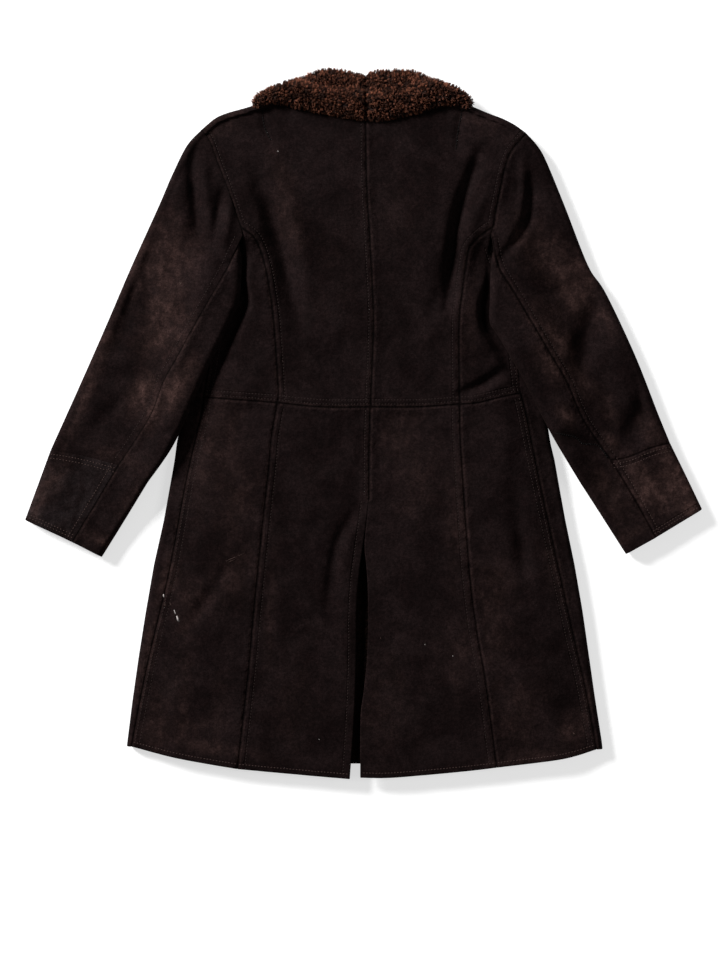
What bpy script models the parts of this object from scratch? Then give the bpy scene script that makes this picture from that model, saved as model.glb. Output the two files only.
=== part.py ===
"""Shearling coat, lying flat on its front with its back up.

x runs across the coat, y up to the collar and z up from the surface that it lies on. Left is the side of
negative x. Sizes below are in millimetres, and MM turns them into metres as each piece is made.
"""

import math

import bmesh
import bpy

MM = 0.001
MIDDLE = (1.5, 0.7811)  # middle of the finished coat's box, which the origin lies under
EXTRUDED = 1.0  # mark of the second layer of a piece's grid

# Driving dimensions
WALL = 6.0  # skin and pressed fleece
SEAM_GAP = 0.4  # between two pieces that are sewn together
LAY_GAP = 0.9  # between two pieces that lie on each other
SHELF = 14.0  # height of the body where a sleeve lies on it
LAP = 35.0  # reach of each front past the middle
LAP_RISE = 24.0  # width over which the upper front climbs onto the lower one
PAST_FOLD = 5.0  # how far the wrapped part of a front runs in under the body
FRONT_WAIST = 28.0  # y of the waist seam on the fronts
FRONT_HEM = -477.0  # y of the hem at the front edges
SHOULDER_FOLD = 9.5  # radius of the fold along the shoulders
SLEEVE_THICK = 18.0
SLEEVE_RAMP = 30.0  # width over which a sleeve climbs onto the body
SLEEVE_LEVEL = 14.0  # how far past the body's edge it stays level before that
THINNEST_SLEEVE = 14.0
UNDER_SLEEVE_THICK = 16.0  # thickness of a sleeve along its inner fold
UNDERARM_Y = 250.0
YOKE_Y = 300.0  # above this the shoulder's fold rounds the body's edge
EDGE_RIM = 8.0  # level rim along the body's sides
EDGE_RISE = 60.0  # width over which the body rises from the rim
SHELF_RIM = 3.0  # level shelf beside a sleeve
SHELF_RISE = 26.0  # width over which the body rises from the shelf
SHELF_REACH = 60.0  # how far in under a sleeve the shelf is kept
SHELF_TOP = 235.0  # y above which the whole width beside a sleeve is shelf
FOLD_FADE = 40.0  # width over which the folds fade out towards the body's sides
SLEEVE_FOLD_FADE = 16.0
COLLAR_THICK = 15.0  # fur fall where it lies on the back
COLLAR_ROLL = 20.0  # and where it rolls over, above the neck
COLLAR_RIM = 5.0
COLLAR_ROUND = 2.6  # power of the fall's cross-section: the larger, the fuller
COLLAR_TAPER = 0.4  # share of the fur's height that is lost at the collar's tips
COLLAR_TAPER_FROM = 0.7  # share of its length at which that begins
COLLAR_DROP = 24.0  # width over which the collar comes down to the surface beyond the neck
COLLAR_DROP_FROM = 7.0  # and how far beyond the neck it begins to
COLLAR_ROLL_FROM = 4.0
COLLAR_TUCK = 13.0  # how far the front run reaches up under the roll
FRONT_RUN_FUR = 1.6  # height of the front run's middle over its edges
FRONT_RUN_SIDE = 3.0  # half the gap between the two front runs at the break point
FRONT_RUN_WIDE = 14.0  # width of the front run at the break point
BREAK_POINT = (0.0, 262.0)  # where the collar ends on the hidden front
BREAK_SLOPE = 0.75  # rise of the collar's edge from there outward
BREAK_DROP = 6.0  # how far below it each front's own corner lies
SHARP_ANGLE = 50.0  # degrees between two faces that are shaded apart

# Rows and columns of each piece's grid
ARMHOLE_STEPS = (0.0, 0.024, 0.075, 0.22, 0.38, 0.54, 0.7, 0.85, 1.0)
SIDE_ROWS = 11
SKIRT_ROWS = 16
SLEEVE_ROWS = 15
CUFF_ROWS = 4
CENTRE_COLUMNS = 9
NECK_COLUMNS = 3
SIDE_COLUMNS = 4
STRIP_COLUMNS = 6
SHOULDER_COLUMNS = 3
CURVE_STEPS = 12  # fine steps between two given points of a path
FRONT_SEAM_SAMPLE = 4  # place among ARMHOLE_STEPS where the sleeve's hidden front seam starts
FRONT_SEAM_SHARE = 0.36  # how far in from the outer fold that seam runs
NARROW = 1.3  # an under sleeve's top narrower than this many fold radii is divided evenly
CUFF_STEPS = (0.0, 0.03, 0.1, 0.21, 0.32, 0.43, 0.54, 0.66, 0.78, 0.89, 1.0)
COLLAR_EDGE_STEPS = (0.0, 0.25, 0.48, 0.68, 0.85, 1.0)
LAP_MARGIN = 9.0
COLLAR_COLUMNS = 11
COLLAR_ROWS = 7
RUN_COLUMNS = 3
LAP_COLUMNS = {-1: (-62.0, -38.0, 0.0, LAP), 1: (0.0, -LAP)}
CORNER_TRIM = 0.06  # how far the side panel's sharp upper corner is blunted, as a share of a cell

# Outline of the body, a row for each height: left edge, right edge, height at the edge, height inside
BODY_SECTIONS = (
    ("y", "left", "right", "edge", "inside"),
    (470, -245, 245, 14, 15),
    (440, -245, 245, 14, 15),
    (395, -245, 245, 14, 19),
    (330, -220, 225, 14, 24),
    (275, -190, 200, 14, 26),
    (250, -177, 184, 14, 26),
    (222, -191, 197, 14, 25),
    (173, -211, 215, 14, 25),
    (131, -226, 229, 14, 25),
    (82, -239, 244, 14, 24),
    (33, -248, 255, 14, 23),
    (-26, -261, 264, 14, 23),
    (-51, -264, 270, 14, 24),
    (-135, -279, 285, 15, 24),
    (-198, -293, 298, 16, 23),
    (-261, -304, 309, 16, 22),
    (-324, -314, 318, 16, 22),
    (-387, -323, 327, 16, 22),
    (-451, -331, 337, 16, 21),
    (-520, -336, 342, 16, 21),
)

# Largest folds of the back, a row for each: start, middle, end, depth (a ridge is below 0), half width
BACK_FOLDS = (
    ("start", "middle", "end", "depth", "width"),
    ((-148, 352), (-118, 280), (-94, 150), 6.5, 17),
    ((-128, 366), (-96, 300), (-74, 190), -3.5, 20),
    ((168, 372), (126, 280), (112, 180), 6.5, 17),
    ((186, 330), (160, 290), (146, 240), -2.5, 14),
    ((146, 55), (170, 62), (192, 72), 3.0, 9),
    ((-30, -110), (-38, -190), (-50, -300), 3.5, 17),
    ((-14, -140), (-18, -240), (-24, -400), -3.0, 14),
    ((226, -165), (229, -200), (234, -240), 3.0, 14),
    ((-176, 24), (-196, -40), (-214, -120), 2.5, 18),
    ((60, -60), (70, -200), (90, -380), -2.5, 40),
)

# Largest folds of the sleeves, in the same columns
SLEEVE_FOLDS = (
    ("start", "middle", "end", "depth", "width"),
    ((-229, 366), (-224, 320), (-214, 276), 5.5, 15),
    ((-258, 330), (-262, 240), (-290, 150), -3.0, 22),
    ((-250, 190), (-268, 150), (-300, 110), 3.0, 18),
    ((236, 352), (232, 300), (206, 240), 5.0, 14),
    ((262, 340), (280, 270), (312, 200), -3.0, 20),
    ((264, -14), (300, -28), (336, -34), 5.0, 9),
    ((270, 80), (296, 60), (330, 20), 3.0, 16),
)

# Paths of the seams and edges, as (x, y) points that a smooth curve runs through
LEFT = {
    "shoulder": ((-227, 412), (-208, 428), (-191, 436), (-163, 444), (-141, 451), (-115, 460), (-99, 464)),
    "neck": ((-99, 464), (-79, 453), (-46, 444), (4, 442)),
    "armhole": ((-227, 412), (-215, 396), (-201, 359), (-186, 320), (-173, 282), (-170, 274)),
    "underarm": ((-170, 274), (-168, 262), (-173, 250)),
    "back_seam": ((-170, 274), (-150, 258), (-138, 227), (-130, 188), (-124, 142), (-118, 52), (-119, 29)),
    "side_seam": ((-173, 250), (-183, 226), (-197, 173), (-211, 103), (-223, 37)),
    "waist_side": ((-223, 37), (-172, 33), (-119, 29)),
    "waist_centre": ((-119, 29), (-55, 23), (11, 23)),
    "skirt_seam": (
        (-119, 29), (-127, -18), (-131, -62), (-141, -155), (-153, -275), (-159, -342), (-175, -484),
    ),
    "skirt_side": (
        (-223, 37), (-227, 8), (-247, -79), (-271, -208), (-300, -331), (-317, -415), (-324, -453),
    ),
    "vent": ((9, -106), (4, -145), (-6, -219), (-9, -275), (-9, -320), (-12, -408), (-18, -498)),
    "hem_side": ((-324, -453), (-255, -470), (-175, -484)),
    "hem_centre": ((-175, -484), (-88, -492), (-18, -498)),
    "collar_front": ((-141, 451), (-120, 400), (-70, 315), (0, 262)),
    "collar_roll": ((-99, 464), (-84, 400), (-42, 320), (0, 264)),
    "sleeve_outer": (
        (-227, 412), (-247, 390), (-268, 348), (-286, 306),
        (-324, 222), (-360, 138), (-397, 54), (-438, -37),
    ),
    "sleeve_inner": (
        (-175, 258), (-169, 226), (-172, 173), (-183, 145), (-220, 68), (-262, -26), (-301, -83),
    ),
    "sleeve_seam": ((-168, 262), (-194, 209), (-232, 142), (-262, 88), (-279, 58), (-298, 10), (-342, -58)),
    "cuff_outer": ((-438, -37), (-456, -86), (-474, -135)),
    "cuff_inner": ((-301, -83), (-334, -136), (-366, -187)),
    "cuff_back": ((-342, -58), (-372, -108), (-407, -166)),
    "cuff_seam": ((-438, -37), (-396, -44), (-342, -58)),
    "cuff_hem": ((-474, -135), (-407, -166)),
    "collar_top": (
        (5, 491), (-5, 493), (-31, 498), (-55, 499), (-89, 486), (-134, 470), (-149, 460), (-156, 451),
    ),
    "collar_low": ((5, 425), (-41, 432), (-82, 440), (-121, 449), (-149, 443)),
}
RIGHT = {
    "shoulder": (
        (230, 408), (215, 419), (198, 428), (177, 436), (158, 444), (139, 451), (115, 460), (102, 464),
    ),
    "neck": ((102, 464), (82, 453), (50, 444), (4, 442)),
    "armhole": ((230, 408), (221, 397), (208, 381), (200, 360), (194, 333), (187, 299), (183, 275)),
    "underarm": ((183, 275), (180, 262), (181, 250)),
    "back_seam": ((183, 275), (167, 264), (150, 246), (145, 222), (141, 195), (135, 135), (136, 27)),
    "side_seam": ((181, 250), (192, 215), (204, 159), (215, 103), (222, 43)),
    "waist_side": ((222, 43), (194, 37), (162, 29), (136, 27)),
    "waist_centre": ((136, 27), (75, 23), (11, 23)),
    "skirt_seam": ((136, 27), (136, -23), (145, -122), (152, -219), (158, -275), (177, -374), (188, -482)),
    "skirt_side": ((222, 43), (230, 10), (250, -89), (281, -230), (295, -275), (314, -374), (328, -457)),
    "vent": ((9, -106), (8, -145), (8, -208), (8, -331), (2, -374), (-3, -408), (-3, -496)),
    "hem_side": ((328, -457), (281, -470), (188, -482)),
    "hem_centre": ((188, -482), (136, -488), (43, -496), (-3, -496)),
    "collar_front": ((139, 451), (120, 400), (70, 315), (0, 262)),
    "collar_roll": ((102, 464), (84, 400), (42, 320), (0, 264)),
    "sleeve_outer": (
        (230, 408), (246, 390), (258, 369), (284, 306), (317, 222),
        (342, 183), (383, 96), (416, 12), (432, -27),
    ),
    "sleeve_inner": (
        (187, 258), (180, 226), (178, 173), (178, 141), (190, 122), (227, 58), (264, -15), (304, -82),
    ),
    "sleeve_seam": ((180, 262), (190, 218), (211, 183), (260, 100), (285, 58), (309, 5), (348, -51)),
    "cuff_outer": ((432, -27), (454, -72), (477, -120)),
    "cuff_inner": ((304, -82), (337, -132), (370, -183)),
    "cuff_back": ((348, -51), (381, -106), (411, -160)),
    "cuff_seam": ((432, -27), (404, -34), (372, -47), (348, -51)),
    "cuff_hem": ((477, -120), (411, -160)),
    "collar_top": (
        (5, 491), (13, 496), (55, 498), (76, 495), (96, 486), (135, 470), (149, 460), (156, 450),
    ),
    "collar_low": ((5, 425), (31, 426), (75, 436), (115, 447), (149, 441)),
}
CENTRE_BACK = ((4, 442), (6, 331), (10, 264), (15, 166), (15, 117), (11, 23))
CENTRE_SKIRT = ((11, 23), (10, -9), (9, -69), (9, -106))
VENT_ROW = 4  # row of the skirt at which the vent opens


def smooth(value):
    """0 below 0, 1 above 1 and a soft S between."""
    value = min(1.0, max(0.0, value))
    return value * value * (3 - 2 * value)


def mix(a, b, share):
    return a + (b - a) * share


def along(points, steps):
    """Points of the smooth curve through the given ones, at each share of its length in steps."""
    fine = []
    for i in range(len(points) - 1):
        p0, p1 = points[max(i - 1, 0)], points[i]
        p2, p3 = points[i + 1], points[min(i + 2, len(points) - 1)]
        for k in range(CURVE_STEPS):
            t = k / CURVE_STEPS
            w0, w1 = -t + 2 * t ** 2 - t ** 3, 2 - 5 * t ** 2 + 3 * t ** 3
            w2, w3 = t + 4 * t ** 2 - 3 * t ** 3, -t ** 2 + t ** 3
            fine.append(tuple((w0 * a + w1 * b + w2 * c + w3 * d) / 2 for a, b, c, d in zip(p0, p1, p2, p3)))
    fine.append(tuple(float(v) for v in points[-1]))
    lengths = [0.0]
    for a, b in zip(fine, fine[1:]):
        lengths.append(lengths[-1] + math.dist(a, b))
    found = []
    for step in steps:
        goal = step * lengths[-1]
        k = 0
        while k < len(fine) - 2 and lengths[k + 1] < goal:
            k += 1
        share = (goal - lengths[k]) / max(lengths[k + 1] - lengths[k], 1e-9)
        found.append((mix(fine[k][0], fine[k + 1][0], share), mix(fine[k][1], fine[k + 1][1], share)))
    return found


def even(count):
    return [k / count for k in range(count + 1)]


def section(y):
    """The body's left and right edge, its height at the edge and its height inside, at this y."""
    rows = BODY_SECTIONS[1:]
    for above, below in zip(rows, rows[1:]):
        if y >= below[0] or below is rows[-1]:
            share = min(1.0, max(0.0, (above[0] - y) / (above[0] - below[0])))
            return [mix(a, b, share) for a, b in zip(above[1:], below[1:])]
    return list(rows[-1][1:])


def nearest(point, path):
    """Distance from the point to a path, and how far along the path the nearest place is."""
    best, place = 1e9, 0.0
    for k, (a, b) in enumerate(zip(path, path[1:])):
        ax, ay = b[0] - a[0], b[1] - a[1]
        share = ((point[0] - a[0]) * ax + (point[1] - a[1]) * ay) / (ax * ax + ay * ay)
        share = min(1.0, max(0.0, share))
        distance = math.dist(point, (a[0] + share * ax, a[1] + share * ay))
        if distance < best:
            best, place = distance, (k + share) / (len(path) - 1)
    return best, place


def fold_paths(table):
    return [(along(row[:3], even(8)), row[3], row[4]) for row in table[1:]]


BACK_FOLD_PATHS = fold_paths(BACK_FOLDS)
SLEEVE_FOLD_PATHS = fold_paths(SLEEVE_FOLDS)
INNER_EDGES = {-1: along(LEFT["sleeve_inner"], even(24)), 1: along(RIGHT["sleeve_inner"], even(24))}
SHOULDERS = {-1: along(LEFT["shoulder"], even(20)), 1: along(RIGHT["shoulder"], even(20))}


def folds(point, paths):
    """Height that the troughs and ridges add at a point."""
    height = 0.0
    for path, depth, width in paths:
        distance, place = nearest(point, path)
        if distance < 3 * width:
            height -= depth * math.exp(-(distance / width) ** 2) * math.sin(math.pi * mix(0.12, 0.88, place))
    return height


def past_sleeve(x, y):
    """How far a point of the body lies outside the zone that a sleeve covers."""
    side = -1 if x < 0 else 1
    path = INNER_EDGES[side]
    distance, _ = nearest((x, y), path)
    inner = path[0]
    for a, b in zip(path, path[1:]):
        if b[1] <= y <= a[1]:
            inner = (mix(a[0], b[0], (a[1] - y) / max(a[1] - b[1], 1e-9)), y)
    covered = y < path[0][1] and y > path[-1][1] and (x - inner[0]) * side > 0
    return -distance if covered else distance


def body_top(x, y):
    """Height of the upper face of the body."""
    left, right, edge, inside = section(y)
    from_edge = min(x - left, right - x)
    yoke = y > UNDERARM_Y
    height = inside if yoke else mix(edge, inside, smooth((from_edge - EDGE_RIM) / EDGE_RISE))
    clear = past_sleeve(x, y)
    open_share = smooth((clear - SHELF_RIM) / SHELF_RISE)
    if y > SHELF_TOP or clear > -SHELF_REACH:
        height = mix(SHELF, height, open_share)
    fade = 1 if yoke else smooth(from_edge / FOLD_FADE)
    return height + folds((x, y), BACK_FOLD_PATHS) * open_share * fade


def shoulder_fold(x, y):
    """Distance from the shoulder's edge, the way in from it, and how far the fold counts at this place."""
    side = -1 if x < 0 else 1
    path = SHOULDERS[side]
    distance, place = nearest((x, y), path)
    tip, end = path[0], path[-1]
    length = math.dist(tip, end)
    inward = (-side * (end[1] - tip[1]) / length, -abs(end[0] - tip[0]) / length)
    return distance, inward, 1 - smooth((place - 0.8) / 0.2)


def shell_point(x, y, depth, under=0):
    """A point of the body's upper wall, or of its lower wall on the side that under names.

    depth is 0 on the outside of the wall and 1 on its inside.
    """
    if under:
        height = front_rise(x, under) + WALL * depth
    else:
        height = body_top(x, y) - WALL * depth
    distance, inward, counts = shoulder_fold(x, y)
    radius = SHOULDER_FOLD
    if counts == 0 or distance >= radius or y < YOKE_Y:
        return x, y, height
    cosine = (radius - distance) / radius
    sine = math.sqrt(max(0.0, 1 - cosine * cosine))
    reach = radius - WALL * depth
    lift = max(reach * sine, SEAM_GAP / 2)
    lift = radius - lift if under else radius + lift
    moved = WALL * depth * cosine * counts
    return x + inward[0] * moved, y + inward[1] * moved, mix(height, lift, counts)


def front_rise(x, side):
    """Height of a front's underside: 0, but for the left front where it laps the right one."""
    if side > 0:
        return 0.0
    start = LAP_COLUMNS[-1][0]
    return (WALL + LAY_GAP) * smooth((x - start) / LAP_RISE)


def wrapped_point(side, x, y, depth):
    """A point of the body at the unrolled place x, which may run past the side fold to the underside."""
    left, right, edge, _ = section(y)
    border = left if side < 0 else right
    radius = edge / 2
    past = (border - side * radius - x) * side
    if past >= 0:
        return shell_point(x, y, depth)
    angle = min(-past / radius, math.pi)
    reach = radius - WALL * depth
    beyond = max(0.0, -past - math.pi * radius)
    x_out = border - side * radius + side * reach * math.sin(angle) - side * beyond
    return x_out, y, radius + reach * math.cos(angle)


def unrolled(side, y, beyond):
    """The unrolled place on the underside, beyond the fold by so much."""
    left, right, edge, _ = section(y)
    border = left if side < 0 else right
    return border + side * (-edge / 2 + math.pi * edge / 2 + beyond)


def patch(left, right, top, bottom):
    """Plan places of a grid between four edges that share their corners, as rows of (x, y)."""
    rows = []
    tall, wide = len(left) - 1, len(top) - 1
    for j in range(tall + 1):
        v = j / tall
        row = []
        for i in range(wide + 1):
            u = i / wide
            row.append(tuple(
                (1 - u) * left[j][k] + u * right[j][k] + (1 - v) * top[i][k] + v * bottom[i][k]
                - (1 - u) * (1 - v) * top[0][k] - u * (1 - v) * top[wide][k]
                - (1 - u) * v * bottom[0][k] - u * v * bottom[wide][k]
                for k in (0, 1)
            ))
        rows.append(row)
    return rows


def inset(rows, sides):
    """Draws the named edges of a grid in by half a seam's gap. The sides are some of l, r, t and b."""
    tall, wide = len(rows) - 1, len(rows[0]) - 1
    moved = [list(row) for row in rows]

    def push(i, j, a, b, inner):
        ax, ay = b[0] - a[0], b[1] - a[1]
        length = math.hypot(ax, ay) or 1.0
        nx, ny = -ay / length, ax / length
        x, y = rows[j][i]
        if (inner[0] - x) * nx + (inner[1] - y) * ny < 0:
            nx, ny = -nx, -ny
        mx, my = moved[j][i]
        moved[j][i] = (mx + nx * SEAM_GAP / 2, my + ny * SEAM_GAP / 2)

    for side, i, inner in (("l", 0, 1), ("r", wide, wide - 1)):
        if side in sides:
            for j in range(tall + 1):
                beside = min(max(j, 1), tall - 1)
                push(i, j, rows[max(j - 1, 0)][i], rows[min(j + 1, tall)][i], rows[beside][inner])
    for side, j, inner in (("t", 0, 1), ("b", tall, tall - 1)):
        if side in sides:
            for i in range(wide + 1):
                beside = min(max(i, 1), wide - 1)
                push(i, j, rows[j][max(i - 1, 0)], rows[j][min(i + 1, wide)], rows[inner][beside])
    return moved


def make_material(name, colour, roughness):
    material = bpy.data.materials.new(name)
    material.use_nodes = True
    shader = material.node_tree.nodes["Principled BSDF"]
    shader.inputs["Base Color"].default_value = (*colour, 1.0)
    shader.inputs["Roughness"].default_value = roughness
    return material


def make_piece(name, wide, tall, place, material, missing=None):
    """A walled piece: a grid with a second layer behind it, each point put where place(i, j, depth) says.

    missing(i, j) leaves out a face of the grid, so that a piece can have a corner cut away.
    """
    grid = bmesh.new()
    bmesh.ops.create_grid(grid, x_segments=wide, y_segments=tall, size=0.5)
    grid.verts.ensure_lookup_table()
    if missing:
        lost = [f for f in grid.faces if missing(*cell(f, wide, tall))]
        bmesh.ops.delete(grid, geom=lost, context="FACES")
    layer = bmesh.ops.extrude_face_region(grid, geom=grid.faces[:])
    for item in layer["geom"]:
        if isinstance(item, bmesh.types.BMVert):
            item.co.z = EXTRUDED
    for vert in grid.verts:
        i = round((vert.co.x + 0.5) * wide)
        j = round((0.5 - vert.co.y) * tall)
        x, y, z = place(i, j, vert.co.z)
        vert.co = ((x - MIDDLE[0]) * MM, (y - MIDDLE[1]) * MM, z * MM)
    bmesh.ops.triangulate(grid, faces=grid.faces[:])
    bmesh.ops.recalc_face_normals(grid, faces=grid.faces[:])
    mesh = bpy.data.meshes.new(name)
    grid.to_mesh(mesh)
    grid.free()
    mesh.materials.append(material)
    mesh.shade_smooth()
    mesh.set_sharp_from_angle(angle=math.radians(SHARP_ANGLE))
    piece = bpy.data.objects.new(name, mesh)
    COAT.objects.link(piece)
    return piece


def cell(face, wide, tall):
    """Column and row of a face of a unit grid."""
    middle = face.calc_center_median()
    return int((middle.x + 0.5) * wide), int((0.5 - middle.y) * tall)


def side_name(side):
    return "left" if side < 0 else "right"


def back_panels(side, lines, suede):
    """The four back pieces of one side. Columns run from the outer edge in, rows from top to bottom."""
    name = side_name(side)
    armhole = along(lines["armhole"], ARMHOLE_STEPS)
    seam = along(lines["back_seam"], even(SIDE_ROWS))
    rows = len(armhole) + len(seam) - 2
    centre = along(CENTRE_BACK, even(rows))
    shoulder = along(lines["shoulder"], even(CENTRE_COLUMNS - NECK_COLUMNS))
    neck = along(lines["neck"], even(NECK_COLUMNS))
    waist = along(lines["waist_centre"], even(CENTRE_COLUMNS))
    plan = inset(patch(armhole + seam[1:], centre, shoulder + neck[1:], waist), "lrb")
    make_piece("back_" + name, CENTRE_COLUMNS, rows, top_place(plan), suede)

    side_seam = along(lines["side_seam"], even(SIDE_ROWS))
    underarm = along(lines["underarm"][::-1], even(SIDE_COLUMNS))
    waist_side = along(lines["waist_side"], even(SIDE_COLUMNS))
    plan = inset(patch(side_seam, seam, underarm, waist_side), "lrtb")
    plan[0][-1] = mix_points(plan[0][-1], plan[1][-2], CORNER_TRIM)
    make_piece("back_side_" + name, SIDE_COLUMNS, SIDE_ROWS, wrap_place(side, plan), suede)

    skirt_seam = along(lines["skirt_seam"], even(SKIRT_ROWS))
    middle = along(CENTRE_SKIRT, even(VENT_ROW)) + along(lines["vent"], even(SKIRT_ROWS - VENT_ROW))[1:]
    hem = along(lines["hem_centre"], even(CENTRE_COLUMNS))
    plan = inset(patch(skirt_seam, middle, waist, hem), "lrt")
    make_piece("skirt_back_" + name, CENTRE_COLUMNS, SKIRT_ROWS, top_place(plan), suede)

    skirt_side = along(lines["skirt_side"], even(SKIRT_ROWS))
    hem = along(lines["hem_side"], even(SIDE_COLUMNS))
    plan = inset(patch(skirt_side, skirt_seam, waist_side, hem), "lrt")
    make_piece("skirt_side_" + name, SIDE_COLUMNS, SKIRT_ROWS, wrap_place(side, plan), suede)


def top_place(plan):
    return lambda i, j, depth: shell_point(*plan[j][i], depth)


def wrap_place(side, plan):
    return lambda i, j, depth: wrapped_point(side, *plan[j][i], depth)


def front_panels(side, lines, suede):
    """The two front pieces of one side, from the side seam round the fold and in to the front edge."""
    name = side_name(side)
    lap = LAP_COLUMNS[side]
    armhole = along(lines["armhole"], ARMHOLE_STEPS)
    armpit_rows = len(armhole)
    rows = armpit_rows + SIDE_ROWS
    side_seam = along(lines["side_seam"], even(SIDE_ROWS))
    underside = beyond_fold(side, side_seam, FRONT_WAIST)
    fold = on_underside(side, underside)
    shoulder = along((*lines["shoulder"][:4], lines["collar_front"][0]), even(SHOULDER_COLUMNS))
    top = shoulder + collar_edge(side, lines)[1:] + [(lap[-1], BREAK_POINT[1] - BREAK_DROP)]
    free = len(top) - 1 - len(lap)
    waist = under_columns(fold[-1], lap, free, FRONT_WAIST)
    right = [(lap[-1], mix(top[-1][1], FRONT_WAIST, v)) for v in even(rows)]
    main = line_up(inset(patch(armhole + fold, right, top, waist), "ltb"), lap, fold, armpit_rows)
    strip = inset(wrap_patch(side_seam, underside), "ltb")
    columns = STRIP_COLUMNS + len(top) - 1
    make_piece(
        "front_" + name, columns, rows, joined_place(side, strip, main, armpit_rows), suede,
        missing=lambda i, j: i < STRIP_COLUMNS and j < armpit_rows,
    )

    seam = along(lines["skirt_side"], even(SKIRT_ROWS))
    underside = beyond_fold(side, seam, None)
    underside[0] = (underside[0][0], FRONT_WAIST)
    fold = on_underside(side, underside)
    top = under_columns(fold[0], lap, free, FRONT_WAIST)
    hem = under_columns(fold[-1], lap, free, FRONT_HEM)
    right = [(lap[-1], mix(FRONT_WAIST, FRONT_HEM, v)) for v in even(SKIRT_ROWS)]
    main = line_up(inset(patch(fold, right, top, hem), "t"), lap, fold, 0)
    strip = inset(wrap_patch(seam, underside), "lt")
    make_piece("skirt_front_" + name, columns, SKIRT_ROWS, joined_place(side, strip, main, 0), suede)


def collar_edge(side, lines):
    """Corners of the line where a front meets the collar's front run, from shoulder to break point."""
    lap = LAP_COLUMNS[side]
    curve = along((*lines["collar_front"][:-1], BREAK_POINT), COLLAR_EDGE_STEPS)
    curve = [place for place in curve[:-1] if (place[0] - lap[0]) * side > LAP_MARGIN]
    return curve + [(x, BREAK_POINT[1] + max(0.0, x * side) * BREAK_SLOPE) for x in lap[:-1]]


def beyond_fold(side, seam, last):
    """Unrolled places just past the side fold, one beside each place of the seam."""
    places = [(unrolled(side, y, PAST_FOLD), y) for _, y in seam]
    if last is not None:
        places[-1] = (places[-1][0], last)
    return places


def on_underside(side, places):
    return [(wrapped_point(side, x, y, 0)[0], y) for x, y in places]


def under_columns(fold, lap, free, y):
    """A row across a front's underside: from the fold to the lap, then the lap's own columns."""
    row = [mix_points(fold, (lap[0], y), smooth_start(k / (free + 1))) for k in range(free + 1)]
    return row + [(x, y) for x in lap]


def smooth_start(share):
    return mix(share, math.sin(share * math.pi / 2), 0.3)


def line_up(main, lap, fold, first):
    """Puts a front's lap columns at their own x, and its first column on the fold that the strip ends at."""
    for row in main:
        for k, x in enumerate(lap):
            row[k - len(lap)] = (x, row[k - len(lap)][1])
    for j in range(first, len(main)):
        main[j][0] = (fold[j - first][0], main[j][0][1])
    return main


def wrap_patch(seam, underside):
    return patch(seam, underside, level(seam[0], underside[0]), level(seam[-1], underside[-1]))


def mix_points(a, b, share):
    return mix(a[0], b[0], share), mix(a[1], b[1], share)


def level(start, end):
    return [mix_points(start, end, u) for u in even(STRIP_COLUMNS)]


def joined_place(side, strip, main, first_row):
    """Places of a piece whose first columns wrap the side and whose others lie underneath."""
    def place(i, j, depth):
        if i < STRIP_COLUMNS:
            return wrapped_point(side, *strip[j - first_row][i], depth)
        return shell_point(*main[j][i - STRIP_COLUMNS], depth, under=side)

    return place


def sleeve_line(lines, edge):
    """The outer or inner edge of a sleeve and its cuff, a point for each row."""
    sleeve = along(lines["sleeve_" + edge], even(SLEEVE_ROWS))
    return sleeve + along(lines["cuff_" + edge], even(CUFF_ROWS))[1:]


def sleeve_base(side, x, y):
    """Height of what a sleeve lies on: the body's edge, or the surface beside it."""
    left, right, _, _ = section(min(y, UNDERARM_Y))
    out = (left - x) if side < 0 else (x - right)
    away = math.hypot(max(0.0, out), max(0.0, y - UNDERARM_Y))
    return (SHELF + LAY_GAP) * smooth(1 - max(0.0, away - SLEEVE_LEVEL) / SLEEVE_RAMP)


def sleeve_point(side, place, depth, way_in, from_fold, thick, under):
    """A point of a sleeve's wall. way_in points in from the nearest fold, which lies from_fold away."""
    x, y = place
    radius = thick / 2
    reach = radius - WALL * depth
    base = sleeve_base(side, x, y)
    if from_fold >= radius:
        if under:
            return x, y, base + WALL * depth
        crease = folds((x, y), SLEEVE_FOLD_PATHS) * smooth((from_fold - radius) / SLEEVE_FOLD_FADE)
        return x, y, base + radius + reach + crease
    cosine = 1 - from_fold / radius
    lift = reach * math.sqrt(max(0.0, 1 - cosine * cosine))
    moved = WALL * depth * cosine
    return x + way_in[0] * moved, y + way_in[1] * moved, base + radius + (-lift if under else lift)


def unit(a, b):
    length = math.dist(a, b)
    return (b[0] - a[0]) / length, (b[1] - a[1]) / length


def toward(a, b, distance):
    way = unit(a, b)
    return a[0] + way[0] * distance, a[1] + way[1] * distance


def ring_place(side, top_plan, under_plan, fold_line, far_line, head_thick, first_row):
    """Places of a sleeve piece. Its columns run over the top to the fold, then back underneath."""
    turn = len(top_plan[0]) - 1

    def place(i, j, depth):
        under = i > turn
        spot = under_plan[j][i - turn] if under else top_plan[j][i]
        fold = fold_line[first_row + j]
        way_in = unit(fold, far_line[first_row + j])
        from_fold = abs((spot[0] - fold[0]) * way_in[0] + (spot[1] - fold[1]) * way_in[1])
        if i != turn and from_fold < 1:
            from_fold = math.dist(spot, fold)
        if i == turn:
            from_fold = 0.0
        settle = smooth((first_row + j) / 3)
        thick = mix(head_thick(i), SLEEVE_THICK, settle)
        return sleeve_point(side, spot, depth, way_in, from_fold, thick, under)

    return place


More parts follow.
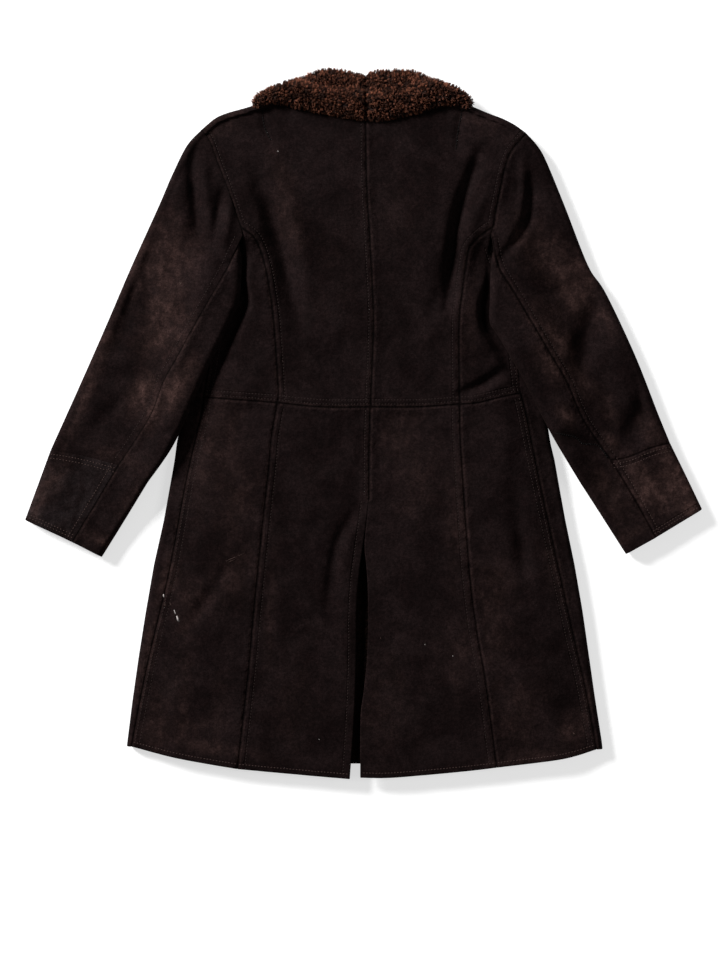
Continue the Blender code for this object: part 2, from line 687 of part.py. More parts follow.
def sleeve_pieces(side, lines, suede):
    """Upper sleeve, cuff and under sleeve. Each is a strip of rings from the armhole to the cuff."""
    name = side_name(side)
    outer, inner = sleeve_line(lines, "outer"), sleeve_line(lines, "inner")
    armhole = along(lines["armhole"], ARMHOLE_STEPS)
    underarm = along(lines["underarm"], even(SIDE_COLUMNS))
    head = armhole + underarm[1:3]
    back_seam = along((head[-1], *lines["sleeve_seam"][1:]), even(SLEEVE_ROWS))
    cuff_back = along(lines["cuff_back"], even(CUFF_ROWS))
    front_seam = [armhole[FRONT_SEAM_SAMPLE]]
    front_seam += [mix_points(o, i, FRONT_SEAM_SHARE) for o, i in zip(outer[1:], inner[1:])]
    radius = SLEEVE_THICK / 2
    bend = (1 - math.sqrt(0.5)) * radius

    def body_height(spots):
        heights = [max(THINNEST_SLEEVE, body_top(*spot) - sleeve_base(side, *spot)) for spot in spots]
        return lambda i: heights[min(i, len(heights) - 1)]

    cuff_seam = along(lines["cuff_seam"], CUFF_STEPS)
    columns = len(head) - 1
    top = patch(outer[:SLEEVE_ROWS + 1], back_seam, head, cuff_seam)
    top = [row[::-1] for row in inset(top, "rtb")]
    under = [armhole[:FRONT_SEAM_SAMPLE + 1]]
    for o, f in zip(outer[1:], front_seam[1:]):
        far = math.dist(o, f)
        under.append([o] + [toward(o, f, d) for d in (bend, radius, mix(radius, far, 0.5), far)])
    upper = inset(under[:SLEEVE_ROWS + 1], "rtb")
    heads = body_height(head[::-1])
    tip_thick = 2 * SHOULDER_FOLD

    def upper_thick(i):
        return tip_thick if i >= columns - 1 else heads(i)

    make_piece(
        "sleeve_top_" + name, columns + FRONT_SEAM_SAMPLE, SLEEVE_ROWS,
        ring_place(side, top, upper, outer, inner, upper_thick, 0), suede,
    )
    hem = along(lines["cuff_hem"], CUFF_STEPS)
    top = patch(outer[SLEEVE_ROWS:], cuff_back, cuff_seam, hem)
    top = [row[::-1] for row in inset(top, "rt")]
    lower = inset(under[SLEEVE_ROWS:], "rt")
    make_piece(
        "cuff_" + name, columns + FRONT_SEAM_SAMPLE, CUFF_ROWS,
        ring_place(side, top, lower, outer, inner, upper_thick, SLEEVE_ROWS), suede,
    )

    seam = back_seam + cuff_back[1:]
    top, under = [], []
    for s, i, f in zip(seam, inner, front_seam):
        far = math.dist(s, i)
        steps = [far * share for share in (1, 0.75, 0.5, 0.25)]
        if far > NARROW * radius:
            steps = (far, mix(radius, far, 0.5), radius, bend)
        top.append([toward(i, s, d) for d in steps] + [i])
        far = math.dist(i, f)
        steps = (bend, radius, mix(radius, far, 0.33), mix(radius, far, 0.66), far)
        under.append([i] + [toward(i, f, d) for d in steps])
    under[0] = under[0][:3] + armhole[FRONT_SEAM_SAMPLE + 2:FRONT_SEAM_SAMPLE - 1:-1]
    top, under = inset(top, "lt"), inset(under, "rt")
    make_piece(
        "sleeve_under_" + name, len(top[0]) + len(under[0]) - 2, SLEEVE_ROWS + CUFF_ROWS,
        ring_place(side, top, under, inner, outer, lambda i: UNDER_SLEEVE_THICK, 0), suede,
    )


def neck_edge(x):
    """y of the body's edge under the collar at this x."""
    side = -1 if x < 4 else 1
    path = NECK_EDGES[side]
    for a, b in zip(path, path[1:]):
        if min(a[0], b[0]) <= x <= max(a[0], b[0]):
            return mix(a[1], b[1], (x - a[0]) / ((b[0] - a[0]) or 1.0))
    return path[0][1]


def collar_pieces(side, lines, fur):
    """One half of the collar: its fall on the back, and its run down the hidden front."""
    name = side_name(side)
    top = along(lines["collar_top"], even(COLLAR_COLUMNS))
    low = along(lines["collar_low"], even(COLLAR_COLUMNS))
    centre = [mix_points(top[0], low[0], v) for v in even(COLLAR_ROWS)]
    tip = [mix_points(top[-1], low[-1], v) for v in even(COLLAR_ROWS)]
    plan = inset(patch(centre, tip, top, low), "l")

    def fall(i, j, depth):
        x, y = plan[j][i]
        beyond = y - neck_edge(x)
        on_body = body_top(x, min(y, neck_edge(x))) + LAY_GAP
        base = mix(on_body, 0.0, smooth((beyond - COLLAR_DROP_FROM) / COLLAR_DROP))
        full = mix(COLLAR_THICK, COLLAR_ROLL, smooth((beyond - COLLAR_ROLL_FROM) / COLLAR_DROP))
        tip_share = smooth((i / COLLAR_COLUMNS - COLLAR_TAPER_FROM) / (1 - COLLAR_TAPER_FROM))
        bulge = (1 - abs(2 * j / COLLAR_ROWS - 1) ** COLLAR_ROUND) * (1 - COLLAR_TAPER * tip_share)
        return x, y, base + (1 - depth) * mix(COLLAR_RIM, full, bulge)

    make_piece("collar_" + name, COLLAR_COLUMNS, COLLAR_ROWS, fall, fur)

    near = collar_edge(side, lines)
    near[-1] = (side * FRONT_RUN_SIDE, BREAK_POINT[1] + FRONT_RUN_SIDE * BREAK_SLOPE)
    end = (side * FRONT_RUN_SIDE, BREAK_POINT[1] + FRONT_RUN_WIDE)
    far = along((*lines["collar_roll"][:-1], end), even(len(near) - 1))
    near.insert(0, (near[0][0], near[0][1] + COLLAR_TUCK))
    far.insert(0, (far[0][0], far[0][1] + COLLAR_TUCK))
    across = even(RUN_COLUMNS)
    first = [mix_points(near[0], far[0], u) for u in across]
    last = [mix_points(near[-1], far[-1], u) for u in across]
    run = inset(patch(near, far, first, last), "l")
    rows = len(run) - 1

    def front_run(i, j, depth):
        x, y = run[j][i]
        edge = i in (0, RUN_COLUMNS) or j in (0, rows)
        return x, y, (1 - depth) * (WALL if edge else WALL + FRONT_RUN_FUR)

    make_piece("collar_front_" + name, RUN_COLUMNS, rows, front_run, fur)


def clear_scene():
    for item in list(bpy.data.objects):
        bpy.data.objects.remove(item)


clear_scene()
COAT = bpy.data.collections.new("shearling_coat")
bpy.context.scene.collection.children.link(COAT)
SUEDE = make_material("dark_brown_suede", (0.012, 0.008, 0.0075), 0.9)
FUR = make_material("brown_shearling_fur", (0.05, 0.018, 0.01), 0.95)
NECK_EDGES = {
    -1: along(LEFT["shoulder"], even(12))[:-1] + along(LEFT["neck"], even(12)),
    1: along(RIGHT["shoulder"], even(12))[:-1] + along(RIGHT["neck"], even(12)),
}
for SIDE, LINES in ((-1, LEFT), (1, RIGHT)):
    back_panels(SIDE, LINES, SUEDE)
    front_panels(SIDE, LINES, SUEDE)
    sleeve_pieces(SIDE, LINES, SUEDE)
    collar_pieces(SIDE, LINES, FUR)
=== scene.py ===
"""Looks of the shearling coat: suede panels, topstitching, fur collar, light and camera.

Sizes are in millimetres in the coat's own outline, and MM turns them into metres. MIDDLE moves that outline
onto the origin. Left is the side of negative x.
"""

import math
import random

import bmesh
import bpy
import numpy as np
from mathutils import Matrix, Vector, noise
from mathutils.bvhtree import BVHTree
from mathutils.kdtree import KDTree


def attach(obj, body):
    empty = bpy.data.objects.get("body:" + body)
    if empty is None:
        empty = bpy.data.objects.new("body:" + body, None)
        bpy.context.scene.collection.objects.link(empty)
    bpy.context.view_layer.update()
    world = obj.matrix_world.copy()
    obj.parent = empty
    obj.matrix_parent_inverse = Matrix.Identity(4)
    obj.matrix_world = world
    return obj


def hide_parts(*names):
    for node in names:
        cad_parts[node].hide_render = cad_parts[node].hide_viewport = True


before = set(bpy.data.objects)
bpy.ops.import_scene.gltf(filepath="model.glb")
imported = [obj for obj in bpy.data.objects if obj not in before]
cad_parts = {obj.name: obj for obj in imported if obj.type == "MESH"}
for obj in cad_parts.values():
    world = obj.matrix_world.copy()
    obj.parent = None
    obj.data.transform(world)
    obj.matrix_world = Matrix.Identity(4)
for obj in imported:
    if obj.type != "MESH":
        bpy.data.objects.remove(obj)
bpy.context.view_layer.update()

MM = 0.001
MIDDLE = (1.5, 0.7811)

# Sizes of the coat. The gap of the seams is below 0: the pieces run a little into each other there, so that
# no light from the floor shows through.
WALL = 6.0
SEAM_GAP = -0.4
LAY_GAP = 0.9
SHELF = 14.0
LAP = 35.0
LAP_RISE = 24.0
PAST_FOLD = 5.0
FRONT_WAIST = 28.0
FRONT_HEM = -477.0
SHOULDER_FOLD = 9.5
SLEEVE_THICK = 18.0
SLEEVE_RAMP = 64.0
SLEEVE_LEVEL = 10.0
THINNEST_SLEEVE = 14.0
UNDER_SLEEVE_THICK = 12.5
UNDERARM_Y = 250.0
YOKE_Y = 300.0
YOKE_BLEND = 50.0
EDGE_RIM = 8.0
EDGE_RISE = 60.0
SHELF_RIM = (0.5, 5.0)
SHELF_RISE = (8.0, 15.0)
SHELF_FROM = (205.0, 165.0)
SHELF_REACH = 60.0
SHELF_TOP = 235.0
FOLD_FADE = 40.0
SLEEVE_FOLD_FADE = 9.0
COLLAR_THICK = 10.0
COLLAR_ROLL = 15.0
COLLAR_RIM = 3.5
COLLAR_ROUND = 2.6
COLLAR_TAPER = 0.4
COLLAR_TAPER_FROM = 0.7
COLLAR_DROP = 24.0
COLLAR_DROP_FROM = 7.0
COLLAR_ROLL_FROM = 4.0
COLLAR_INSET = 2.6
COLLAR_TUCK = 13.0
PART_GAP = 0.4
FRONT_RUN_SIDE = 3.0
FRONT_RUN_WIDE = 14.0
FRONT_RUN_LIFT = 3.0
BREAK_POINT = (0.0, 262.0)
BREAK_SLOPE = 0.75
BREAK_DROP = 6.0
EDGE_ROUND = 1.15
NARROW = 1.3

# Rows and columns of the grids: the solid's own, and how many parts each is divided into here
ARMHOLE_STEPS = (0.0, 0.024, 0.075, 0.22, 0.38, 0.54, 0.7, 0.85, 1.0)
SIDE_ROWS = 11
SKIRT_ROWS = 16
SLEEVE_ROWS = 15
CUFF_ROWS = 4
CENTRE_COLUMNS = 9
NECK_COLUMNS = 3
SIDE_COLUMNS = 4
STRIP_COLUMNS = 6
SHOULDER_COLUMNS = 3
CURVE_STEPS = 12
FRONT_SEAM_SAMPLE = 4
FRONT_SEAM_SHARE = 0.36
CUFF_STEPS = (0.0, 0.03, 0.1, 0.21, 0.32, 0.43, 0.54, 0.66, 0.78, 0.89, 1.0)
COLLAR_EDGE_STEPS = (0.0, 0.25, 0.48, 0.68, 0.85, 1.0)
LAP_MARGIN = 9.0
COLLAR_COLUMNS = 70
COLLAR_ROWS = 34
RUN_COLUMNS = 3
LAP_COLUMNS = {-1: (-62.0, -38.0, 0.0, LAP), 1: (0.0, -LAP)}
BACK_PARTS = 6
SKIRT_PARTS = 7
SLEEVE_PARTS = 8
RING_PARTS = 5
FRONT_PARTS = 3

BODY_SECTIONS = (
    ("y", "left", "right", "edge", "inside"),
    (470, -245, 245, 14, 15),
    (440, -245, 245, 14, 15),
    (395, -245, 245, 14, 19),
    (330, -220, 225, 14, 24),
    (275, -190, 200, 14, 26),
    (250, -177, 184, 14, 26),
    (222, -191, 197, 14, 25),
    (173, -211, 215, 14, 25),
    (131, -226, 229, 14, 25),
    (82, -239, 244, 14, 24),
    (33, -248, 255, 14, 23),
    (-26, -261, 264, 14, 23),
    (-51, -264, 270, 14, 24),
    (-135, -279, 285, 15, 24),
    (-198, -293, 298, 16, 23),
    (-261, -304, 309, 16, 22),
    (-324, -314, 318, 16, 22),
    (-387, -323, 327, 16, 22),
    (-451, -331, 337, 16, 21),
    (-520, -336, 342, 16, 21),
)

# Folds of the back, a row for each: start, middle, end, depth (a ridge is below 0), half width, and how steep
# its wall is on the right-hand side of its way from start to end (below 0: on the left-hand side)
BACK_FOLDS = (
    ("start", "middle", "end", "depth", "width", "steep"),
    ((224, 396), (203, 350), (190, 286), 2.6, 5, 0),
    ((-141, 456), (-137, 416), (-126, 388), 2.6, 4.5, 0),
    ((139, 456), (136, 414), (129, 374), 2.6, 4.5, 0),
    ((-222, 400), (-192, 340), (-174, 282), 2.2, 6, 0),
    ((-150, 352), (-120, 268), (-86, 134), 13.5, 16, -0.45),
    ((-136, 372), (-102, 310), (-76, 200), -4.0, 13, 0),
    ((-160, 330), (-148, 300), (-142, 262), -1.8, 9, 0),
    ((164, 380), (132, 286), (119, 160), 13.5, 10, 0.3),
    ((126, 240), (112, 200), (96, 140), 3.0, 14, 0.4),
    ((184, 350), (158, 290), (144, 226), -3.0, 10, 0),
    ((100, 330), (92, 270), (84, 200), -1.6, 20, 0),
    ((132, 40), (168, 58), (204, 82), 6.0, 9, -0.6),
    ((148, 34), (172, 44), (204, 60), -3.0, 6, 0),
    ((148, 84), (166, 92), (196, 104), 1.6, 7, 0),
    ((-126, 60), (-150, 70), (-186, 92), 1.8, 8, 0),
    ((-162, 276), (-160, 226), (-160, 168), -6.0, 11, 0),
    ((-2, -112), (-36, -170), (-50, -270), 4.6, 12, 0.5),
    ((6, -126), (-20, -164), (-32, -240), -2.6, 8, 0),
    ((-14, -140), (-18, -240), (-24, -400), -2.4, 12, 0),
    ((212, -50), (218, -130), (224, -215), 5.4, 14, 0),
    ((220, -140), (226, -180), (230, -226), 4.6, 8, 0),
    ((-176, 24), (-196, -40), (-214, -120), 2.6, 15, 0),
    ((-186, -196), (-216, -240), (-250, -294), 3.2, 9, 0.3),
    ((-282, -330), (-280, -380), (-290, -436), 3.4, 13, 0.3),
    ((-206, -230), (-210, -300), (-214, -380), -1.6, 16, 0),
    ((60, -60), (70, -200), (90, -380), -2.5, 40, 0),
    ((30, -30), (46, -110), (40, -190), 1.5, 22, 0),
    ((120, -250), (112, -330), (124, -420), 1.6, 20, 0),
    ((-100, -60), (-108, -150), (-116, -260), 1.4, 20, 0),
    ((-80, -330), (-84, -400), (-92, -470), 1.2, 18, 0),
    ((238, -6), (262, -4), (284, -10), 1.4, 5, 0),
    ((-60, 110), (-20, 118), (30, 104), 1.1, 18, 0),
    ((50, 190), (70, 150), (84, 96), 1.2, 18, 0),
    ((-70, 420), (-60, 380), (-84, 340), -1.2, 22, 0),
    ((86, 430), (76, 390), (92, 350), -1.2, 20, 0),
)

SLEEVE_FOLDS = (
    ("start", "middle", "end", "depth", "width", "steep"),
    ((-240, 390), (-238, 330), (-230, 264), 6.0, 9, 0.4),
    ((-195, 332), (-202, 296), (-208, 256), 6.5, 8, 0.3),
    ((-232, 274), (-208, 242), (-180, 200), 6.5, 11, 0),
    ((-222, 384), (-219, 320), (-214, 268), -4.0, 8, 0),
    ((-183, 316), (-187, 280), (-192, 250), -3.0, 6, 0),
    ((-262, 352), (-256, 300), (-248, 240), -2.4, 12, 0),
    ((-258, 330), (-262, 240), (-290, 150), -2.2, 20, 0),
    ((-236, 190), (-258, 150), (-296, 104), 3.6, 14, 0),
    ((-326, 200), (-328, 150), (-352, 90), 4.0, 14, 0),
    ((-296, 250), (-300, 190), (-306, 130), 2.6, 13, 0),
    ((-284, 60), (-322, 70), (-366, 60), 3.0, 12, 0),
    ((-336, 30), (-362, 6), (-392, -22), 3.0, 11, 0),
    ((-272, 34), (-288, 0), (-318, -40), 2.8, 9, 0),
    ((-252, -10), (-276, -14), (-300, -8), 2.8, 6, 0),
    ((-308, -50), (-330, -86), (-362, -150), -1.8, 12, 0),
    ((-176, 232), (-190, 222), (-206, 226), 2.4, 5, 0),
    ((-236, 120), (-250, 96), (-262, 66), -1.6, 9, 0),
    ((-392, -70), (-410, -96), (-426, -128), 1.4, 13, 0),
    ((236, 346), (230, 284), (190, 226), 7.5, 8, 0.3),
    ((224, 376), (225, 326), (219, 286), -3.6, 6, 0),
    ((256, 340), (262, 280), (290, 210), -3.0, 15, 0),
    ((226, 252), (250, 226), (290, 214), 2.0, 10, 0),
    ((300, 178), (318, 160), (340, 150), 3.0, 12, 0),
    ((244, -9), (276, -16), (306, -22), 3.6, 5, 0),
    ((294, -24), (318, -30), (350, -52), 3.4, 5, 0),
    ((258, -24), (290, -38), (330, -56), -2.4, 8, 0),
    ((262, 8), (300, -8), (340, -30), -1.6, 9, 0),
    ((338, 178), (314, 124), (300, 64), 8.0, 20, 0.35),
    ((416, 64), (388, 12), (364, -42), 8.5, 21, 0.35),
    ((280, 134), (296, 70), (318, 0), -3.0, 15, 0),
    ((356, 110), (364, 60), (372, 20), -3.0, 14, 0),
    ((330, 60), (344, 30), (350, -10), 3.0, 9, 0),
    ((236, 190), (262, 182), (300, 190), 2.6, 10, 0),
    ((330, -60), (352, -100), (380, -150), -0.9, 14, 0),
    ((240, 130), (252, 104), (262, 80), -1.5, 8, 0),
    ((396, -60), (416, -84), (430, -120), 1.4, 12, 0),
)

# Places where the suede is made lighter, partly worn nap and partly painted highlight on lit edges and
# ridges: middle, half length, half width, lean in degrees, amount
WORN_AND_HIGHLIGHT_PLACES = (
    ("x", "y", "long", "short", "lean", "amount"),
    (-280, 261, 40, 30, 62, 0.35),
    (-265, 221, 45, 28, 62, 0.5),
    (-275, 166, 30, 18, 62, 0.75),
    (-315, 211, 40, 18, 62, 0.35),
    (-290, 116, 28, 22, 62, 0.6),
    (-250, 131, 30, 14, 62, 0.35),
    (-310, 42, 24, 14, 60, 1.0),
    (-265, 42, 28, 14, 62, 0.85),
    (-245, 72, 26, 14, 62, 0.5),
    (-295, 12, 26, 12, 62, 0.55),
    (-385, 47, 50, 8, 66, 0.45),
    (-365, 107, 45, 12, 66, 0.45),
    (-405, -8, 30, 10, 64, 0.2),
    (-350, -46, 30, 10, -14, 0.3),
    (-365, -165, 26, 8, -24, 0.5),
    (-315, -108, 40, 16, 62, 0.35),
    (-450, -103, 40, 10, 66, 0.6),
    (-430, -80, 30, 12, 66, 0.3),
    (233, 251, 40, 20, -60, 0.35),
    (273, 226, 40, 22, -60, 0.5),
    # Painted highlight on the outer edge of the right sleeve.
    (313, 216, 24, 9, -62, 0.8),
    (298, 176, 30, 20, -60, 0.75),
    (258, 136, 40, 22, -60, 0.45),
    (278, 106, 30, 16, -60, 0.45),
    (343, 146, 30, 12, -62, 0.3),
    (263, 77, 22, 12, -60, 0.6),
    (303, 57, 26, 14, -60, 0.5),
    (283, 12, 16, 8, -60, 0.85),
    (343, 22, 24, 12, -60, 0.35),
    (348, -28, 16, 9, -60, 0.7),
    (407, -13, 30, 12, -62, 0.4),
    (442, -68, 36, 15, -62, 1.0),
    (412, -98, 32, 24, -30, 0.85),
    (457, -108, 28, 14, -62, 1.0),
    (387, -78, 28, 18, -60, 0.6),
    (343, -98, 50, 18, -62, 0.4),
    (372, -157, 24, 8, 30, 0.35),
    (-215, -7, 50, 30, 80, 0.18),
    (-190, 3, 34, 20, 80, 0.14),
    (-215, -67, 60, 28, 78, 0.2),
    (-175, -107, 50, 24, 80, 0.25),
    (-180, -211, 40, 22, 66, 0.26),
    (-240, -256, 40, 18, 70, 0.3),
    (-270, -216, 30, 12, 78, 0.5),
    (-250, -376, 54, 9, 86, 0.3),
    (-300, -316, 60, 9, 78, 0.4),
    (-290, -415, 40, 16, 78, 0.3),
    (-240, -425, 50, 14, 10, 0.2),
    (-200, -380, 60, 14, 84, 0.1),
    (-215, -452, 60, 9, -10, 0.35),
    (-130, -276, 80, 8, 86, 0.2),
    (-100, -395, 60, 24, 88, 0.12),
    (73, -82, 50, 34, 84, 0.18),
    (48, -17, 34, 28, 84, 0.25),
    (133, -126, 60, 14, 88, 0.3),
    (182, -236, 50, 34, 80, 0.22),
    (183, -311, 40, 20, 80, 0.25),
    (118, -316, 40, 26, 84, 0.12),
    (138, -342, 40, 12, 84, 0.22),
    (292, -430, 18, 14, 80, 0.55),
    (312, -405, 50, 8, 80, 0.3),
    (247, -465, 60, 8, 8, 0.3),
    (267, -206, 40, 10, -75, 0.25),
    (28, -390, 60, 40, 88, 0.14),
    (217, -405, 50, 30, 84, 0.28),
    (-112, 352, 30, 14, -66, 0.3),
    (-102, 285, 44, 16, -76, 0.3),
    (47, 300, 60, 30, 88, 0.06),
    (-40, 206, 70, 30, 88, 0.05),
    (167, 422, 34, 14, -26, 0.2),
    (-195, 420, 34, 14, 30, 0.25),
    (150, 145, 60, 12, 84, 0.2),
)

# Lines of the seams and edges of each half, from the top down or from the outside in, as points of curves
LEFT = {
    "shoulder": ((-227, 412), (-208, 428), (-191, 436), (-163, 444), (-141, 451), (-115, 460), (-99, 464)),
    "neck": ((-99, 464), (-79, 453), (-46, 444), (4, 442)),
    "armhole": ((-227, 412), (-215, 396), (-201, 359), (-186, 320), (-173, 282), (-170, 274)),
    "underarm": ((-170, 274), (-168, 262), (-173, 250)),
    "back_seam": ((-170, 274), (-150, 258), (-138, 227), (-130, 188), (-124, 142), (-118, 52), (-119, 29)),
    "side_seam": ((-173, 250), (-183, 226), (-197, 173), (-211, 103), (-223, 37)),
    "waist_side": ((-223, 37), (-172, 33), (-119, 29)),
    "waist_centre": ((-119, 29), (-55, 23), (11, 23)),
    "skirt_seam": (
        (-119, 29), (-127, -18), (-131, -62), (-141, -155), (-153, -275), (-159, -342), (-175, -484),
    ),
    "skirt_side": (
        (-223, 37), (-227, 8), (-247, -79), (-271, -208), (-300, -331), (-317, -415), (-324, -453),
    ),
    "vent": ((9, -106), (4, -145), (-6, -219), (-9, -275), (-9, -320), (-12, -408), (-18, -498)),
    "hem_side": ((-324, -453), (-255, -470), (-175, -484)),
    "hem_centre": ((-175, -484), (-88, -492), (-18, -498)),
    "collar_front": ((-141, 451), (-120, 400), (-70, 315), (0, 262)),
    "collar_roll": ((-99, 464), (-84, 400), (-42, 320), (0, 264)),
    "sleeve_outer": (
        (-227, 412), (-247, 390), (-268, 348), (-286, 306),
        (-324, 222), (-360, 138), (-397, 54), (-438, -37),
    ),
    "sleeve_inner": (
        (-175, 258), (-169, 226), (-172, 173), (-183, 145), (-220, 68), (-262, -26), (-301, -83),
    ),
    "sleeve_seam": ((-168, 262), (-194, 209), (-232, 142), (-262, 88), (-279, 58), (-298, 10), (-342, -58)),
    "cuff_outer": ((-438, -37), (-456, -86), (-474, -135)),
    "cuff_inner": ((-301, -83), (-334, -136), (-366, -187)),
    "cuff_back": ((-342, -58), (-372, -108), (-407, -166)),
    "cuff_seam": ((-438, -37), (-396, -44), (-342, -58)),
    "cuff_hem": ((-474, -135), (-407, -166)),
    "collar_top": (
        (5, 491), (-5, 493), (-31, 498), (-55, 499), (-89, 486), (-134, 470), (-149, 460), (-156, 451),
    ),
    "collar_low": ((5, 425), (-41, 432), (-82, 440), (-121, 449), (-149, 443)),
    "dart": ((-141, 451), (-140, 432), (-136, 412), (-128, 397)),
}
RIGHT = {
    "shoulder": (
        (230, 408), (215, 419), (198, 428), (177, 436), (158, 444), (139, 451), (115, 460), (102, 464),
    ),
    "neck": ((102, 464), (82, 453), (50, 444), (4, 442)),
    "armhole": ((230, 408), (221, 397), (208, 381), (200, 360), (194, 333), (187, 299), (183, 275)),
    "underarm": ((183, 275), (180, 262), (181, 250)),
    "back_seam": ((183, 275), (167, 264), (150, 246), (145, 222), (141, 195), (135, 135), (136, 27)),
    "side_seam": ((181, 250), (192, 215), (204, 159), (215, 103), (222, 43)),
    "waist_side": ((222, 43), (194, 37), (162, 29), (136, 27)),
    "waist_centre": ((136, 27), (75, 23), (11, 23)),
    "skirt_seam": ((136, 27), (137, -23), (143, -116), (150.5, -216), (160, -290), (173, -366), (188, -482)),
    "skirt_side": ((222, 43), (230, 10), (250, -89), (279, -222), (292, -281), (313, -374), (328, -457)),
    "vent": (
        (9, -106), (5.5, -140), (3, -172), (6, -205), (8, -250), (7, -320), (2, -374), (-2.5, -412),
        (-3, -496),
    ),
    "hem_side": ((328, -457), (281, -470), (188, -482)),
    "hem_centre": ((188, -482), (136, -488), (43, -496), (-3, -496)),
    "collar_front": ((139, 451), (120, 400), (70, 315), (0, 262)),
    "collar_roll": ((102, 464), (84, 400), (42, 320), (0, 264)),
    "sleeve_outer": (
        (230, 408), (246, 390), (258, 369), (284, 306), (317, 222),
        (342, 183), (383, 96), (416, 12), (432, -27),
    ),
    "sleeve_inner": (
        (187, 258), (180, 226), (178, 173), (178, 141), (190, 122), (227, 58), (264, -15), (304, -82),
    ),
    "sleeve_seam": ((180, 262), (190, 218), (211, 183), (260, 100), (285, 58), (309, 5), (348, -51)),
    "cuff_outer": ((432, -27), (454, -72), (477, -120)),
    "cuff_inner": ((304, -82), (337, -132), (370, -183)),
    "cuff_back": ((348, -51), (381, -106), (411, -160)),
    "cuff_seam": ((432, -27), (404, -34), (372, -47), (348, -51)),
    "cuff_hem": ((477, -120), (411, -160)),
    "collar_top": (
        (5, 491), (13, 496), (55, 498), (76, 495), (96, 486), (135, 470), (149, 460), (156, 450),
    ),
    "collar_low": ((5, 425), (31, 426), (75, 436), (115, 447), (149, 441)),
    "dart": ((139, 451), (140, 440), (134, 409), (131, 384)),
}
CENTRE_BACK = ((4, 442), (6, 331), (10, 264), (15, 166), (15, 117), (11, 23))
CENTRE_SKIRT = ((11, 23), (10, -9), (9, -69), (9, -106))
SIDES = ((-1, LEFT), (1, RIGHT))
VENT_ROW = 4
TINY = 1e-9


def smooth(value):
    """0 below 0, 1 above 1 and a soft S between."""
    value = min(1.0, max(0.0, value))
    return value * value * (3 - 2 * value)


def mix(a, b, share):
    return a + (b - a) * share


def mix_points(a, b, share):
    return mix(a[0], b[0], share), mix(a[1], b[1], share)


def along(points, steps):
    """Points of the smooth curve through the given ones, at each share of its length in steps."""
    fine = []
    for i in range(len(points) - 1):
        p0, p1 = points[max(i - 1, 0)], points[i]
        p2, p3 = points[i + 1], points[min(i + 2, len(points) - 1)]
        for k in range(CURVE_STEPS):
            t = k / CURVE_STEPS
            w0, w1 = -t + 2 * t ** 2 - t ** 3, 2 - 5 * t ** 2 + 3 * t ** 3
            w2, w3 = t + 4 * t ** 2 - 3 * t ** 3, -t ** 2 + t ** 3
            fine.append(tuple((w0 * a + w1 * b + w2 * c + w3 * d) / 2 for a, b, c, d in zip(p0, p1, p2, p3)))
    fine.append(tuple(float(v) for v in points[-1]))
    lengths = [0.0]
    for a, b in zip(fine, fine[1:]):
        lengths.append(lengths[-1] + math.dist(a, b))
    found = []
    for step in steps:
        goal = step * lengths[-1]
        k = 0
        while k < len(fine) - 2 and lengths[k + 1] < goal:
            k += 1
        share = (goal - lengths[k]) / max(lengths[k + 1] - lengths[k], TINY)
        found.append(mix_points(fine[k], fine[k + 1], share))
    return found


def even(count):
    return [k / count for k in range(count + 1)]


def finer(steps, parts):
    """The same steps, each divided into so many parts."""
    return [mix(a, b, k / parts) for a, b in zip(steps, steps[1:]) for k in range(parts)] + [steps[-1]]


def finer_line(points, parts):
    line = [mix_points(a, b, k / parts) for a, b in zip(points, points[1:]) for k in range(parts)]
    return line + [points[-1]]


def finer_plan(plan, tall, wide):
    """A plan grid with each row divided into tall parts and each column into wide parts."""
    rows = [finer_line(row, wide) for row in plan]
    return [list(row) for row in zip(*(finer_line(column, tall) for column in zip(*rows)))]


def section(y):
    """The body's left and right edge, its height at the edge and its height inside, at this y."""
    rows = BODY_SECTIONS[1:]
    for above, below in zip(rows, rows[1:]):
        if y >= below[0] or below is rows[-1]:
            share = min(1.0, max(0.0, (above[0] - y) / (above[0] - below[0])))
            return [mix(a, b, share) for a, b in zip(above[1:], below[1:])]
    return list(rows[-1][1:])


def nearest(point, path):
    """Distance to a path, how far along it its nearest place is, and 1 on its right-hand side or else -1."""
    best, place, hand = math.inf, 0.0, 1
    for k, (a, b) in enumerate(zip(path, path[1:])):
        ax, ay = b[0] - a[0], b[1] - a[1]
        share = ((point[0] - a[0]) * ax + (point[1] - a[1]) * ay) / (ax * ax + ay * ay)
        share = min(1.0, max(0.0, share))
        distance = math.dist(point, (a[0] + share * ax, a[1] + share * ay))
        if distance < best:
            best, place = distance, (k + share) / (len(path) - 1)
            hand = -1 if ax * (point[1] - a[1]) - ay * (point[0] - a[0]) > 0 else 1
    return best, place, hand


# Folds: how many widths one reaches, the ends of the sine that its depth follows, how much narrower its
# steepest wall is, and the steps of the paths
FOLD_REACH = 2.6
FOLD_ENDS = (0.1, 0.9)
STEEPEST = 0.75
FOLD_STEPS = 8
EDGE_STEPS = 24
SHOULDER_STEPS = 20
SHOULDER_FADE = (0.8, 0.2)

# The skin's unevenness, from broad swells to small puckers: size across and down the coat, seed, height
RIPPLES = ((70, 90, 0, 1.5), (21, 26, 7, 0.75), (9, 10, 19, 0.25))
BODY_SEED = 3.0
SLEEVE_SEED = 11.0


def fold_paths(table):
    """Each fold's path, depth, width and steepness, and the box outside which it does nothing."""
    found = []
    for start, middle, end, depth, width, steep in table[1:]:
        path = along((start, middle, end), even(FOLD_STEPS))
        reach = FOLD_REACH * width
        xs, ys = zip(*path)
        box = (min(xs) - reach, max(xs) + reach, min(ys) - reach, max(ys) + reach)
        found.append((path, depth, width, steep, box))
    return found


